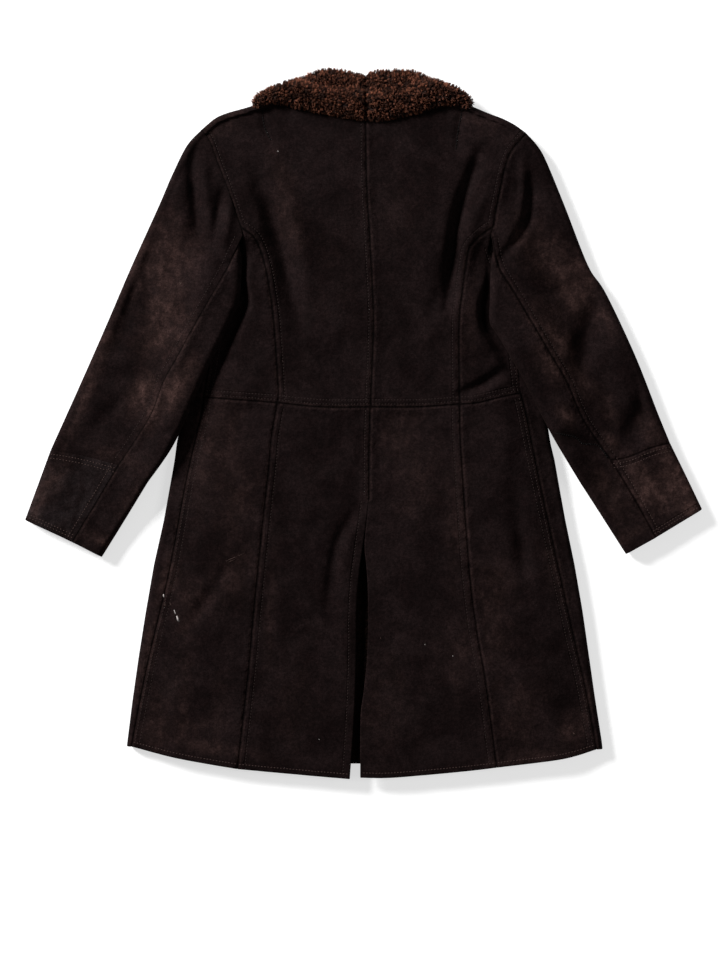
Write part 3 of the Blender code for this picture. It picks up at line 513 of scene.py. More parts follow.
BACK_FOLD_PATHS = fold_paths(BACK_FOLDS)
SLEEVE_FOLD_PATHS = fold_paths(SLEEVE_FOLDS)
INNER_EDGES = {side: along(lines["sleeve_inner"], even(EDGE_STEPS)) for side, lines in SIDES}
SHOULDERS = {side: along(lines["shoulder"], even(SHOULDER_STEPS)) for side, lines in SIDES}


def folds(point, paths):
    """Height that the troughs and ridges add at a point."""
    x, y = point
    height = 0.0
    for path, depth, width, steep, box in paths:
        if box[0] < x < box[1] and box[2] < y < box[3]:
            distance, place, hand = nearest(point, path)
            wide = width * (1 - STEEPEST * abs(steep) if hand * steep > 0 else 1)
            height -= depth * math.exp(-(distance / wide) ** 2) * math.sin(math.pi * mix(*FOLD_ENDS, place))
    return height


def ripple(x, y, seed):
    """Height of the skin's soft unevenness at a point."""
    return sum(high * noise.noise((x / wide, y / long, seed + more)) for wide, long, more, high in RIPPLES)


def past_sleeve(x, y):
    """How far a point of the body lies outside the zone that a sleeve covers."""
    side = -1 if x < 0 else 1
    path = INNER_EDGES[side]
    distance, _, _ = nearest((x, y), path)
    inner = path[0]
    for a, b in zip(path, path[1:]):
        if b[1] <= y <= a[1]:
            inner = (mix(a[0], b[0], (a[1] - y) / max(a[1] - b[1], TINY)), y)
    covered = y < path[0][1] and y > path[-1][1] and (x - inner[0]) * side > 0
    return -distance if covered else distance


def body_top(x, y):
    """Height of the upper face of the body."""
    left, right, edge, inside = section(y)
    from_edge = min(x - left, right - x)
    yoke = smooth((y - UNDERARM_Y) / YOKE_BLEND + 0.5)
    height = mix(mix(edge, inside, smooth((from_edge - EDGE_RIM) / EDGE_RISE)), inside, yoke)
    clear = past_sleeve(x, y)
    low = smooth((SHELF_FROM[0] - y) / (SHELF_FROM[0] - SHELF_FROM[1]))
    open_share = smooth((clear - mix(*SHELF_RIM, low)) / mix(*SHELF_RISE, low))
    if y > SHELF_TOP or clear > -SHELF_REACH:
        height = mix(SHELF, height, open_share)
    fade = mix(smooth(from_edge / FOLD_FADE), 1.0, yoke)
    return height + (folds((x, y), BACK_FOLD_PATHS) + ripple(x, y, BODY_SEED)) * open_share * fade


def shoulder_fold(x, y):
    """Distance from the shoulder's edge, the way in from it, and how far the fold counts at this place."""
    side = -1 if x < 0 else 1
    path = SHOULDERS[side]
    distance, place, _ = nearest((x, y), path)
    tip, end = path[0], path[-1]
    length = math.dist(tip, end)
    inward = (-side * (end[1] - tip[1]) / length, -abs(end[0] - tip[0]) / length)
    return distance, inward, 1 - smooth((place - SHOULDER_FADE[0]) / SHOULDER_FADE[1])


def front_rise(x, side):
    """Height of a front's underside: 0, but for the left front where it laps the right one."""
    if side > 0:
        return 0.0
    return (WALL + LAY_GAP) * smooth((x - LAP_COLUMNS[-1][0]) / LAP_RISE)


def shell_point(x, y, depth, under=0):
    """A point of the body's upper wall, or of its lower wall on the side that under names."""
    if under:
        height = front_rise(x, under) + WALL * depth
    else:
        height = body_top(x, y) - WALL * depth
    if y < YOKE_Y:
        return x, y, height
    distance, inward, counts = shoulder_fold(x, y)
    radius = SHOULDER_FOLD
    if counts == 0 or distance >= radius:
        return x, y, height
    cosine = (radius - distance) / radius
    sine = math.sqrt(max(0.0, 1 - cosine * cosine))
    reach = radius - WALL * depth
    lift = max(reach * sine, 0.0)
    lift = radius - lift if under else radius + lift
    moved = WALL * depth * cosine * counts
    return x + inward[0] * moved, y + inward[1] * moved, mix(height, lift, counts)


def wrapped_point(side, x, y, depth):
    """A point of the body at the unrolled place x, which may run past the side fold to the underside."""
    left, right, edge, _ = section(y)
    border = left if side < 0 else right
    radius = edge / 2
    past = (border - side * radius - x) * side
    if past >= 0:
        return shell_point(x, y, depth)
    angle = min(-past / radius, math.pi)
    reach = radius - WALL * depth
    beyond = max(0.0, -past - math.pi * radius)
    x_out = border - side * radius + side * reach * math.sin(angle) - side * beyond
    return x_out, y, radius + reach * math.cos(angle)


def unrolled(side, y, beyond):
    """The unrolled place on the underside, beyond the fold by so much."""
    left, right, edge, _ = section(y)
    border = left if side < 0 else right
    return border + side * (-edge / 2 + math.pi * edge / 2 + beyond)


def patch(left, right, top, bottom):
    """Plan places of a grid between four edges that share their corners, as rows of (x, y)."""
    rows = []
    tall, wide = len(left) - 1, len(top) - 1
    for j in range(tall + 1):
        v = j / tall
        row = []
        for i in range(wide + 1):
            u = i / wide
            row.append(tuple(
                (1 - u) * left[j][k] + u * right[j][k] + (1 - v) * top[i][k] + v * bottom[i][k]
                - (1 - u) * (1 - v) * top[0][k] - u * (1 - v) * top[wide][k]
                - (1 - u) * v * bottom[0][k] - u * v * bottom[wide][k]
                for k in (0, 1)
            ))
        rows.append(row)
    return rows


def inset(rows, sides):
    """Draws the named edges of a grid in by half a seam's gap. The sides are some of l, r, t and b."""
    tall, wide = len(rows) - 1, len(rows[0]) - 1
    moved = [list(row) for row in rows]

    def push(i, j, a, b, inner):
        ax, ay = b[0] - a[0], b[1] - a[1]
        length = math.hypot(ax, ay) or 1.0
        nx, ny = -ay / length, ax / length
        x, y = rows[j][i]
        if (inner[0] - x) * nx + (inner[1] - y) * ny < 0:
            nx, ny = -nx, -ny
        mx, my = moved[j][i]
        moved[j][i] = (mx + nx * SEAM_GAP / 2, my + ny * SEAM_GAP / 2)

    for side, i, inner in (("l", 0, 1), ("r", wide, wide - 1)):
        if side in sides:
            for j in range(tall + 1):
                beside = min(max(j, 1), tall - 1)
                push(i, j, rows[max(j - 1, 0)][i], rows[min(j + 1, tall)][i], rows[beside][inner])
    for side, j, inner in (("t", 0, 1), ("b", tall, tall - 1)):
        if side in sides:
            for i in range(wide + 1):
                beside = min(max(i, 1), wide - 1)
                push(i, j, rows[j][max(i - 1, 0)], rows[j][min(i + 1, wide)], rows[inner][beside])
    return moved


def side_name(side):
    return "left" if side < 0 else "right"


# Stitching: where each row runs beside its seam, and how far from it. A row of one side only names that side.
STITCH_ROWS = (
    ("part", "seam", "side", "toward", "distances"),
    ("body", "armhole", "both", "in", (7.0,)),
    ("body", "back_seam", "both", "in", (9.0,)),
    ("body", "side_seam", "both", "in", (4.2, 10.0)),
    ("body", "waist_side", "both", "up", (4.2, 10.0)),
    ("body", "waist_centre", "both", "up", (4.2, 10.0)),
    ("body", "skirt_seam", "both", "in", (10.0,)),
    ("body", "skirt_side", "both", "in", (4.2, 10.5)),
    ("body", "hem_side", "both", "up", (7.0,)),
    ("body", "hem_centre", "both", "up", (7.0,)),
    ("body", "vent", "left", "out", (10.0,)),
    ("sleeve", "sleeve_seam", "both", "out", (8.5,)),
    ("sleeve", "cuff_back", "both", "out", (8.5,)),
    ("sleeve", "cuff_seam", "both", "down", (5.6, 11.2)),
    ("sleeve", "cuff_hem", "both", "up", (5.6, 9.8)),
)
SEAMS_SHOWN = {
    "body": (
        "armhole", "underarm", "back_seam", "side_seam", "waist_side", "waist_centre", "skirt_seam",
        "skirt_side",
    ),
    "sleeve": ("armhole", "sleeve_seam", "cuff_back", "cuff_seam"),
}
CENTRE_ROW = 6.3
CENTRE_ENDS = 4
SLEEVE_LEAN = 0.4
ROW_ENDS = (0.012, 0.988)
LINE_STEP = 1.0
FAR = 30.0


def line_length(points):
    return sum(math.dist(a, b) for a, b in zip(points, points[1:]))


def close_line(points):
    """The smooth curve through the points, in steps of about LINE_STEP."""
    return along(points, even(max(8, round(line_length(points) / LINE_STEP))))


def beside(line, way, distance):
    """The line moved sideways by a distance, to the side that the plan direction way names."""
    moved = []
    for k, (x, y) in enumerate(line):
        a, b = line[max(k - 1, 0)], line[min(k + 1, len(line) - 1)]
        length = math.dist(a, b)
        nx, ny = -(b[1] - a[1]) / length, (b[0] - a[0]) / length
        if nx * way[0] + ny * way[1] < 0:
            nx, ny = -nx, -ny
        moved.append((x + nx * distance, y + ny * distance))
    return moved


def stitch_lines(part):
    """Every row of topstitching on the body or on the sleeves, as a close line of plan places."""
    found = []
    lean = SLEEVE_LEAN if part == "sleeve" else 0.0
    for side, lines in SIDES:
        ways = {"in": (-side, 0.0), "out": (side, lean), "up": (0.0, 1.0), "down": (0.0, -1.0)}
        for row_part, seam, which, way, distances in STITCH_ROWS[1:]:
            if row_part == part and which in ("both", side_name(side)):
                line = close_line(lines[seam])
                start, end = (int(len(line) * share) for share in ROW_ENDS)
                found += [beside(line[start:end], ways[way], distance) for distance in distances]
    if part == "body":
        for seam in (CENTRE_BACK, CENTRE_SKIRT):
            found.append(beside(close_line(seam)[CENTRE_ENDS:-CENTRE_ENDS], (-1.0, 0.0), CENTRE_ROW))
    return found


def seam_lines(part):
    found = [close_line(lines[name]) for _, lines in SIDES for name in SEAMS_SHOWN[part]]
    if part == "body":
        found += [close_line(CENTRE_BACK), close_line(CENTRE_SKIRT)]
    return found


def tree_of(lines):
    places = [place for line in lines for place in line]
    tree = KDTree(len(places))
    for k, (x, y) in enumerate(places):
        tree.insert((x, y, 0.0), k)
    tree.balance()
    return tree


STITCH_LINES = {part: stitch_lines(part) for part in SEAMS_SHOWN}
STITCH_TREES = {part: tree_of(STITCH_LINES[part]) for part in SEAMS_SHOWN}
SEAM_TREES = {part: tree_of(seam_lines(part)) for part in SEAMS_SHOWN}


def part_of(name):
    return "sleeve" if "sleeve" in name or "cuff" in name else "body"


WORN_AND_HIGHLIGHT_REACH = 2.2


def worn(x, y):
    """How much lighter the suede is made here by worn nap and painted highlight, from 0 to 1."""
    total = 0.0
    for px, py, long, short, lean, amount in WORN_AND_HIGHLIGHT_PLACES[1:]:
        dx, dy = x - px, y - py
        if max(abs(dx), abs(dy)) < WORN_AND_HIGHLIGHT_REACH * long:
            c, s = math.cos(math.radians(lean)), math.sin(math.radians(lean))
            u, v = (dx * c + dy * s) / long, (dy * c - dx * s) / short
            total += amount * math.exp(-(u * u + v * v))
    return min(1.0, total)


# Finishes


class Finish:
    """Builds one material's nodes from left to right."""

    def __init__(self, name):
        self.material = bpy.data.materials.new(name)
        self.material.use_nodes = True
        self.tree = self.material.node_tree
        self.shader = self.tree.nodes["Principled BSDF"]
        self.place = self.tree.nodes.new("ShaderNodeTexCoord").outputs["Object"]

    def put(self, socket, value):
        """Links a socket to another one, or sets a number or colour on the socket itself."""
        if isinstance(value, bpy.types.NodeSocket):
            self.tree.links.new(value, socket)
        else:
            socket.default_value = value

    def node(self, kind, result, inputs, **settings):
        """Adds a node with its settings and inputs, and returns the socket of its result."""
        node = self.tree.nodes.new("ShaderNode" + kind)
        for name, value in settings.items():
            setattr(node, name, value)
        for socket, value in inputs.items():
            self.put(node.inputs[socket], value)
        return node.outputs[result]

    def attribute(self, name):
        return self.node("Attribute", "Fac", {}, attribute_name=name)

    def stretched(self, scale, turn):
        inputs = {"Vector": self.place, "Scale": scale, "Rotation": (0.0, 0.0, turn)}
        return self.node("Mapping", "Vector", inputs)

    def grain(self, kind, place=None, twist=0.0):
        """Noise. Its kind is the size of its features in metres, its detail and its roughness."""
        size, detail, rough = kind
        inputs = {"Scale": 1 / size, "Detail": detail, "Roughness": rough, "Distortion": twist}
        return self.node("TexNoise", "Fac", {"Vector": place or self.place, **inputs})

    def cells(self, size):
        return self.node("TexVoronoi", "Distance", {"Vector": self.place, "Scale": 1 / size})

    def between(self, value, ends):
        """A smooth step. Its ends are from, to, and what comes out at each, which is 0 and 1 if left out."""
        inputs = dict(zip(("From Min", "From Max", "To Min", "To Max"), (*ends, 0.0, 1.0)))
        return self.node("MapRange", "Result", {"Value": value, **inputs}, interpolation_type="SMOOTHSTEP")

    def times(self, *values):
        product = values[0]
        for value in values[1:]:
            product = self.node("Math", "Value", {0: product, 1: value}, operation="MULTIPLY")
        return product

    def blend(self, share, a, b, kind="MIX"):
        a, b = ((*colour, 1.0) if isinstance(colour, tuple) else colour for colour in (a, b))
        inputs = {"Factor": share, "A": a, "B": b}
        return self.node("Mix", "Result", inputs, data_type="RGBA", blend_type=kind)

    def relief(self, *layers):
        """Chains bumps, each of a height, a distance in metres and a strength."""
        chain = {}
        for height, distance, strength in layers:
            inputs = {"Height": height, "Distance": distance, "Strength": strength}
            chain = {"Normal": self.node("Bump", "Normal", {**inputs, **chain})}
        self.give(chain)

    def give(self, values):
        """Puts values on the shader's own sockets, and returns the material."""
        for socket, value in values.items():
            self.put(self.shader.inputs[socket], value)
        return self.material


# Noise: size of its features in metres, detail, roughness
PATCHES = (0.055, 5.0, 0.6)
BLOTS = (0.016, 5.0, 0.62)
CRUMPLE = (0.011, 4.0, 0.55)
PUCKERS = (0.0065, 3.0, 0.5)
STREAKS = (0.006, 3.0, 0.6)
MOTTLE = (0.0042, 4.0, 0.65)
GRIT = (0.0038, 4.0, 0.6)
NAP = (0.0016, 3.0, 0.6)
FUZZ = (0.0012, 4.0, 0.65)
STRANDS = (0.0009, 3.0, 0.6)
PATCH_TWIST = 0.6
STREAK_SCALE = (1.0, 0.35, 1.0)
STREAK_TURN = 0.5
FLEECE_CURLS = 0.0042

# Smooth steps: from, to, and what comes out at each. Distances from seams and rows are in millimetres.
PATCH_SHARE = (0.36, 0.66)
BLOT_SHARE = (0.38, 0.66)
WORN_AND_HIGHLIGHT_BY_BLOTS = (0.0, 1.0, 0.55, 1.0)
WORN_AND_HIGHLIGHT_BY_STREAKS = (0.3, 0.7, 0.65, 1.0)
RIDGE_BY_SEAM = (5.5, 2.4, 0.0, 0.16)
RIDGE_BY_STREAKS = (0.35, 0.65)
SHADE_BY_NAP = (0.3, 0.72, 0.68, 1.32)
SHADE_BY_MOTTLE = (0.34, 0.68, 0.74, 1.28)
SHADE_BY_BLOTS = (0.0, 1.0, 0.86, 1.14)
# Painted shade in the valley of each seam: the suede is darkened close to a seam.
SHADE_BY_SEAM = (0.7, 2.6, 0.22, 1.0)
SHADE_BY_ROW = (0.4, 1.4, 0.75, 1.0)
ROUGH_BY_BLOTS = (0.0, 1.0, 0.86, 1.0)
LIP_BY_SEAM = (0.0, 5.0)
GROOVE_BY_ROW = (0.0, 2.6)
PUCKER_BY_SEAM = (3.0, 15.0, 1.0, 0.0)
FLEECE_BY_CURLS = (0.1, 0.7)
PALE_BY_FUZZ = (0.35, 0.7, 0.0, 0.4)
BROWN_BY_TIP = (0.05, 0.8)
PALE_BY_TIP = (0.55, 1.0)
PALE_BY_TINT = (0.2, 1.0, 0.1, 1.0)
SHADE_BY_TINT = (0.1, 0.85, 0.35, 1.45)
SHADE_BY_STRANDS = (0.3, 0.7, 0.7, 1.25)
PLAIN_SHARE = (0.3, 0.7)

# Relief: distance in metres, strength
SEAM_RELIEF = (0.0007, 0.9)
PUCKER_RELIEF = (0.0022, 0.8)
CRUMPLE_RELIEF = (0.0011, 0.55)
GRIT_RELIEF = (0.0004, 0.5)
NAP_RELIEF = (0.00016, 0.6)
CURL_RELIEF = (0.0022, 0.9)
FUZZ_RELIEF = (0.0005, 0.8)
STRAND_RELIEF = (0.0003, 0.6)
PLAIN_RELIEF = (0.0001, 0.5)

# Colours, and how each finish takes the light
SUEDE_DARK = (0.0040, 0.0022, 0.0022)
SUEDE_BROWN = (0.0071, 0.0042, 0.0042)
# Lighter suede of the worn nap and of the painted highlights
SUEDE_WORN_AND_HIGHLIGHT = (0.034, 0.0186, 0.0163)
SUEDE_GREY = (0.0125, 0.0095, 0.0098)
# Fleece colours, darkened as painted shade: it shows only inside the coat and under the fur.
FLEECE_SHADED_BROWN = (0.0056, 0.0024, 0.0017)
FLEECE_CURL_SHADE = (0.0012, 0.0006, 0.0005)
FLEECE_PALE = (0.0095, 0.0042, 0.0028)
# Fur colours: near-black roots are painted shade among the locks; the pale tips are partly their own colour,
# partly painted highlight.
FUR_ROOT_SHADE = (0.0016, 0.0006, 0.0004)
FUR_BROWN = (0.052, 0.0158, 0.0080)
FUR_PALE_AND_HIGHLIGHT = (0.200, 0.072, 0.040)
PLAIN_DARK = 0.55
PLAIN_GLOSS = 0.1
SUEDE_GLOSS = {
    "Specular IOR Level": 0.018, "Sheen Weight": 0.009, "Sheen Roughness": 0.45,
    "Sheen Tint": (0.7, 0.42, 0.34, 1.0),
}
FLEECE_GLOSS = {"Roughness": 0.95, "Specular IOR Level": 0.04}
FUR_GLOSS = {
    "Roughness": 0.62, "Specular IOR Level": 0.12, "Sheen Weight": 0.03, "Sheen Roughness": 0.4,
    "Sheen Tint": (0.9, 0.6, 0.45, 1.0),
}


def make_suede(name, greyer=0.0):
    """Brushed suede: short nap, broad mottling, worn patches mixed with painted highlights, painted shade in
    the valleys of the seams, and rows pressed in by stitches.
    """
    finish = Finish(name)
    seam, row = finish.attribute("seam_mm"), finish.attribute("row_mm")
    patches = finish.between(finish.grain(PATCHES, twist=PATCH_TWIST), PATCH_SHARE)
    blots = finish.between(finish.grain(BLOTS), BLOT_SHARE)
    nap = finish.grain(NAP)
    streaks = finish.grain(STREAKS, finish.stretched(STREAK_SCALE, STREAK_TURN))
    colour = finish.blend(patches, SUEDE_DARK, SUEDE_BROWN)
    if greyer:
        colour = finish.blend(finish.times(patches, greyer), colour, SUEDE_GREY)
    # Lighter share of worn nap and painted highlight; the raised edges beside the seams get the same lighter
    # colour below.
    rubbed = finish.times(
        finish.attribute("worn"), finish.between(blots, WORN_AND_HIGHLIGHT_BY_BLOTS),
        finish.between(streaks, WORN_AND_HIGHLIGHT_BY_STREAKS),
    )
    colour = finish.blend(rubbed, colour, SUEDE_WORN_AND_HIGHLIGHT)
    ridge = finish.times(finish.between(seam, RIDGE_BY_SEAM), finish.between(streaks, RIDGE_BY_STREAKS))
    colour = finish.blend(ridge, colour, SUEDE_WORN_AND_HIGHLIGHT)
    # Tone of the nap, the mottling and the blots; painted shade in the valleys of the seams; darker rows
    # where the stitches press the nap.
    shade = finish.times(
        finish.between(nap, SHADE_BY_NAP), finish.between(finish.grain(MOTTLE), SHADE_BY_MOTTLE),
        finish.between(blots, SHADE_BY_BLOTS), finish.between(seam, SHADE_BY_SEAM),
        finish.between(row, SHADE_BY_ROW),
    )
    colour = finish.blend(1.0, colour, shade, "MULTIPLY")
    finish.relief(
        (finish.between(seam, LIP_BY_SEAM), *SEAM_RELIEF),
        (finish.between(row, GROOVE_BY_ROW), *SEAM_RELIEF),
        (finish.times(finish.grain(PUCKERS), finish.between(seam, PUCKER_BY_SEAM)), *PUCKER_RELIEF),
        (finish.grain(CRUMPLE), *CRUMPLE_RELIEF),
        (finish.grain(GRIT), *GRIT_RELIEF),
        (nap, *NAP_RELIEF),
    )
    rough = finish.between(blots, ROUGH_BY_BLOTS)
    return finish.give({"Base Color": colour, "Roughness": rough, **SUEDE_GLOSS})


def make_fleece():
    """The skin's inner side: short pile, darkened well below its own brown as painted shade inside the coat
    and under the fur, with painted shade between its curls.
    """
    finish = Finish("shaded_fleece")
    curls, fuzz = finish.cells(FLEECE_CURLS), finish.grain(FUZZ)
    colour = finish.blend(finish.between(curls, FLEECE_BY_CURLS), FLEECE_SHADED_BROWN, FLEECE_CURL_SHADE)
    colour = finish.blend(finish.between(fuzz, PALE_BY_FUZZ), colour, FLEECE_PALE)
    finish.relief((curls, *CURL_RELIEF), (fuzz, *FUZZ_RELIEF))
    return finish.give({"Base Color": colour, **FLEECE_GLOSS})


def make_fur():
    """Curly fur: roots darkened to near black as painted shade among the locks, warm brown locks, and paler
    tips that are partly the fur's own colour and partly painted highlight, each lock a little different.
    """
    finish = Finish("brown_curly_fur")
    tip, tint = finish.attribute("tip"), finish.attribute("tint")
    strands = finish.grain(STRANDS)
    colour = finish.blend(finish.between(tip, BROWN_BY_TIP), FUR_ROOT_SHADE, FUR_BROWN)
    pale = finish.times(finish.between(tip, PALE_BY_TIP), finish.between(tint, PALE_BY_TINT))
    colour = finish.blend(pale, colour, FUR_PALE_AND_HIGHLIGHT)
    shade = finish.times(finish.between(tint, SHADE_BY_TINT), finish.between(strands, SHADE_BY_STRANDS))
    colour = finish.blend(1.0, colour, shade, "MULTIPLY")
    finish.relief((strands, *STRAND_RELIEF))
    return finish.give({"Base Color": colour, **FUR_GLOSS})


def make_plain(name, colour, rough, size):
    """Thread or a mark: one colour, broken up by a fine grain of this size in metres."""
    finish = Finish(name)
    grain = finish.grain((size, *STRANDS[1:]))
    dark = tuple(v * PLAIN_DARK for v in colour)
    colour = finish.blend(finish.between(grain, PLAIN_SHARE), dark, colour)
    finish.relief((grain, *PLAIN_RELIEF))
    return finish.give({"Base Color": colour, "Roughness": rough, "Specular IOR Level": PLAIN_GLOSS})


SUEDE = make_suede("dark_brown_suede")
CUFF_SUEDE = make_suede("greyed_brown_suede", 0.7)
FLEECE = make_fleece()
FUR = make_fur()
THREAD = make_plain("brown_thread", (0.0180, 0.0100, 0.0086), 0.6, 0.0008)
EDGE_THREAD = make_plain("rubbed_thread", (0.046, 0.027, 0.023), 0.65, 0.0008)
PALE_MARK = make_plain("pale_scuff", (0.30, 0.27, 0.26), 0.8, 0.0015)
# Painted shade for the sunken lines of the darts and the right elbow's crease.
DART_SHADE = make_plain("dart_shade", (0.0016, 0.0009, 0.0009), 0.95, 0.0015)
FAINT_MARK = make_plain("faint_scuff", (0.060, 0.036, 0.030), 0.8, 0.0015)


# Panels


SUEDE_PIECES = []
ROLL_SEGMENTS = 3
ROLL_ANGLE = 55
SEEN_FROM = -0.35


def placed(x, y, z):
    """A point of the coat, in metres from the part's origin."""
    return (x - MIDDLE[0]) * MM, (y - MIDDLE[1]) * MM, z * MM


def plan_place(point):
    """Where a point of the part lies in the coat's own outline, in millimetres."""
    return point.x / MM + MIDDLE[0], point.y / MM + MIDDLE[1]


def mesh_of(shape, name, finishes=()):
    mesh = bpy.data.meshes.new(name)
    shape.to_mesh(mesh)
    shape.free()
    for finish in finishes:
        mesh.materials.append(finish)
    mesh.shade_smooth()
    return mesh


def ball(name, rounds, finishes=()):
    """A ball with a radius of 1."""
    shape = bmesh.new()
    bmesh.ops.create_icosphere(shape, subdivisions=rounds, radius=1.0)
    return mesh_of(shape, name, finishes)


def add_object(name, mesh):
    piece = bpy.data.objects.new(name, mesh)
    bpy.context.scene.collection.objects.link(piece)
    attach(piece, "root")
    return piece


def cell(face, wide, tall):
    """Column and row of a face of a unit grid."""
    middle = face.calc_center_median()
    return int((middle.x + 0.5) * wide), int((0.5 - middle.y) * tall)


def walled(name, wide, tall, place, finishes, missing=None):
    """A sheet with a wall: a grid and a second layer behind it, each point put where place(i, j, depth) says.

    missing(i, j) leaves out a cell of the grid. The first finish is the outside's, the last the inside's.
    """
    grid = bmesh.new()
    bmesh.ops.create_grid(grid, x_segments=wide, y_segments=tall, size=0.5)
    if missing:
        lost = [f for f in grid.faces if missing(*cell(f, wide, tall))]
        bmesh.ops.delete(grid, geom=lost, context="FACES")
    layer = bmesh.ops.extrude_face_region(grid, geom=grid.faces[:])
    for item in layer["geom"]:
        if isinstance(item, bmesh.types.BMVert):
            item.co.z = 1.0
    for face in grid.faces:
        if all(v.co.z == 1.0 for v in face.verts):
            face.material_index = len(finishes) - 1
    layers = np.full((2, tall + 1, wide + 1, 3), np.nan)
    for vert in grid.verts:
        i = round((vert.co.x + 0.5) * wide)
        j = round((0.5 - vert.co.y) * tall)
        spot = placed(*place(i, j, vert.co.z))
        layers[int(vert.co.z), j, i] = spot
        vert.co = spot
    bmesh.ops.recalc_face_normals(grid, faces=grid.faces[:])
    return add_object(name, mesh_of(grid, name, finishes))


def make_piece(name, wide, tall, place, suede=SUEDE, missing=None):
    """A panel of shearling: suede outside, pressed fleece inside, and rolled edges."""
    piece = walled(name, wide, tall, place, (suede, FLEECE), missing)
    mark_surface(piece)
    rounding = piece.modifiers.new("rolled edges", "BEVEL")
    rounding.width = EDGE_ROUND * MM
    rounding.segments = ROLL_SEGMENTS
    rounding.limit_method = "ANGLE"
    rounding.angle_limit = math.radians(ROLL_ANGLE)
    rounding.harden_normals = False
    SUEDE_PIECES.append(piece)
    return piece


def mark_surface(piece):
    """Stores on each point how much lighter its suede is made by worn nap and painted highlight, and how far
    it is from a seam and from a row of stitches.
    """
    part = part_of(piece.name)
    trees = {"seam_mm": SEAM_TREES[part], "row_mm": STITCH_TREES[part]}
    values = {"worn": [], "seam_mm": [], "row_mm": []}
    for vertex in piece.data.vertices:
        x, y = plan_place(vertex.co)
        values["worn"].append(worn(x, y))
        for name, tree in trees.items():
            distance = tree.find((x, y, 0.0))[2] if vertex.normal.z > SEEN_FROM else FAR
            values[name].append(min(FAR, distance))
    for name, numbers in values.items():
        piece.data.attributes.new(name, "FLOAT", "POINT").data.foreach_set("value", numbers)


def back_panels(side, lines):
    """The four back pieces of one side. Columns run from the outer edge in, rows from top to bottom."""
    columns, neck_columns = CENTRE_COLUMNS * BACK_PARTS, NECK_COLUMNS * BACK_PARTS
    side_columns, side_rows = SIDE_COLUMNS * BACK_PARTS, SIDE_ROWS * BACK_PARTS
    rows, vent_row = SKIRT_ROWS * SKIRT_PARTS, VENT_ROW * SKIRT_PARTS

    def line(name, parts):
        return along(lines[name], even(parts))

    def panel(kind, edges, seams, point):
        plan = inset(patch(*edges), seams)
        make_piece(
            f"cloth_{kind}_{side_name(side)}", len(plan[0]) - 1, len(plan) - 1,
            lambda i, j, depth: point(*plan[j][i], depth),
        )

    def wrapped(x, y, depth):
        return wrapped_point(side, x, y, depth)

    seam, waist = line("back_seam", side_rows), line("waist_centre", columns)
    waist_side = line("waist_side", side_columns)
    outer = along(lines["armhole"], finer(ARMHOLE_STEPS, BACK_PARTS)) + seam[1:]
    centre = along(CENTRE_BACK, even(len(outer) - 1))
    top = line("shoulder", columns - neck_columns) + line("neck", neck_columns)[1:]
    panel("back", (outer, centre, top, waist), "lrb", shell_point)

    underarm = along(lines["underarm"][::-1], even(side_columns))
    panel("back_side", (line("side_seam", side_rows), seam, underarm, waist_side), "lrtb", wrapped)

    seam, edge = line("skirt_seam", rows), line("skirt_side", rows)
    centre = along(CENTRE_SKIRT, even(vent_row)) + line("vent", rows - vent_row)[1:]
    panel("skirt_back", (seam, centre, waist, line("hem_centre", columns)), "lrt", shell_point)
    panel("skirt_side", (edge, seam, waist_side, line("hem_side", side_columns)), "lrt", wrapped)


FRONT_SHOULDER = 4


def front_panels(side, lines):
    """The two front pieces of one side, from the side seam round the fold and in to the front edge."""
    name = side_name(side)
    lap = LAP_COLUMNS[side]
    armhole = along(lines["armhole"], ARMHOLE_STEPS)
    armpit_rows = len(armhole)
    rows = armpit_rows + SIDE_ROWS
    side_seam = along(lines["side_seam"], even(SIDE_ROWS))
    underside = beyond_fold(side, side_seam, -1)
    fold = on_underside(side, underside)
    shoulder = (*lines["shoulder"][:FRONT_SHOULDER], lines["collar_front"][0])
    shoulder = along(shoulder, even(SHOULDER_COLUMNS))
    top = shoulder + collar_edge(side, lines)[1:] + [(lap[-1], BREAK_POINT[1] - BREAK_DROP)]
    free = len(top) - 1 - len(lap)
    waist = under_columns(fold[-1], lap, free, FRONT_WAIST)
    right = [(lap[-1], mix(top[-1][1], FRONT_WAIST, v)) for v in even(rows)]
    main = line_up(inset(patch(armhole + fold, right, top, waist), "ltb"), lap, fold, armpit_rows)
    strip = inset(wrap_patch(side_seam, underside), "ltb")
    front_piece("cloth_front_" + name, side, strip, main, armpit_rows)

    seam = along(lines["skirt_side"], even(SKIRT_ROWS))
    underside = beyond_fold(side, seam, 0)
    fold = on_underside(side, underside)
    top = under_columns(fold[0], lap, free, FRONT_WAIST)
    hem = under_columns(fold[-1], lap, free, FRONT_HEM)
    right = [(lap[-1], mix(FRONT_WAIST, FRONT_HEM, v)) for v in even(SKIRT_ROWS)]
    main = line_up(inset(patch(fold, right, top, hem), "t"), lap, fold, 0)
    strip = inset(wrap_patch(seam, underside), "lt")
    front_piece("cloth_skirt_front_" + name, side, strip, main, 0)


def front_piece(name, side, strip, main, first_row):
    """A front piece: its first columns wrap the side fold and the others lie underneath."""
    parts = FRONT_PARTS
    strip, main = finer_plan(strip, parts, parts), finer_plan(main, parts, parts)
    first_row, turn = first_row * parts, STRIP_COLUMNS * parts

    def place(i, j, depth):
        if i < turn:
            return wrapped_point(side, *strip[j - first_row][i], depth)
        return shell_point(*main[j][i - turn], depth, under=side)

    make_piece(
        name, turn + len(main[0]) - 1, len(main) - 1, place,
        missing=lambda i, j: i < turn and j < first_row,
    )


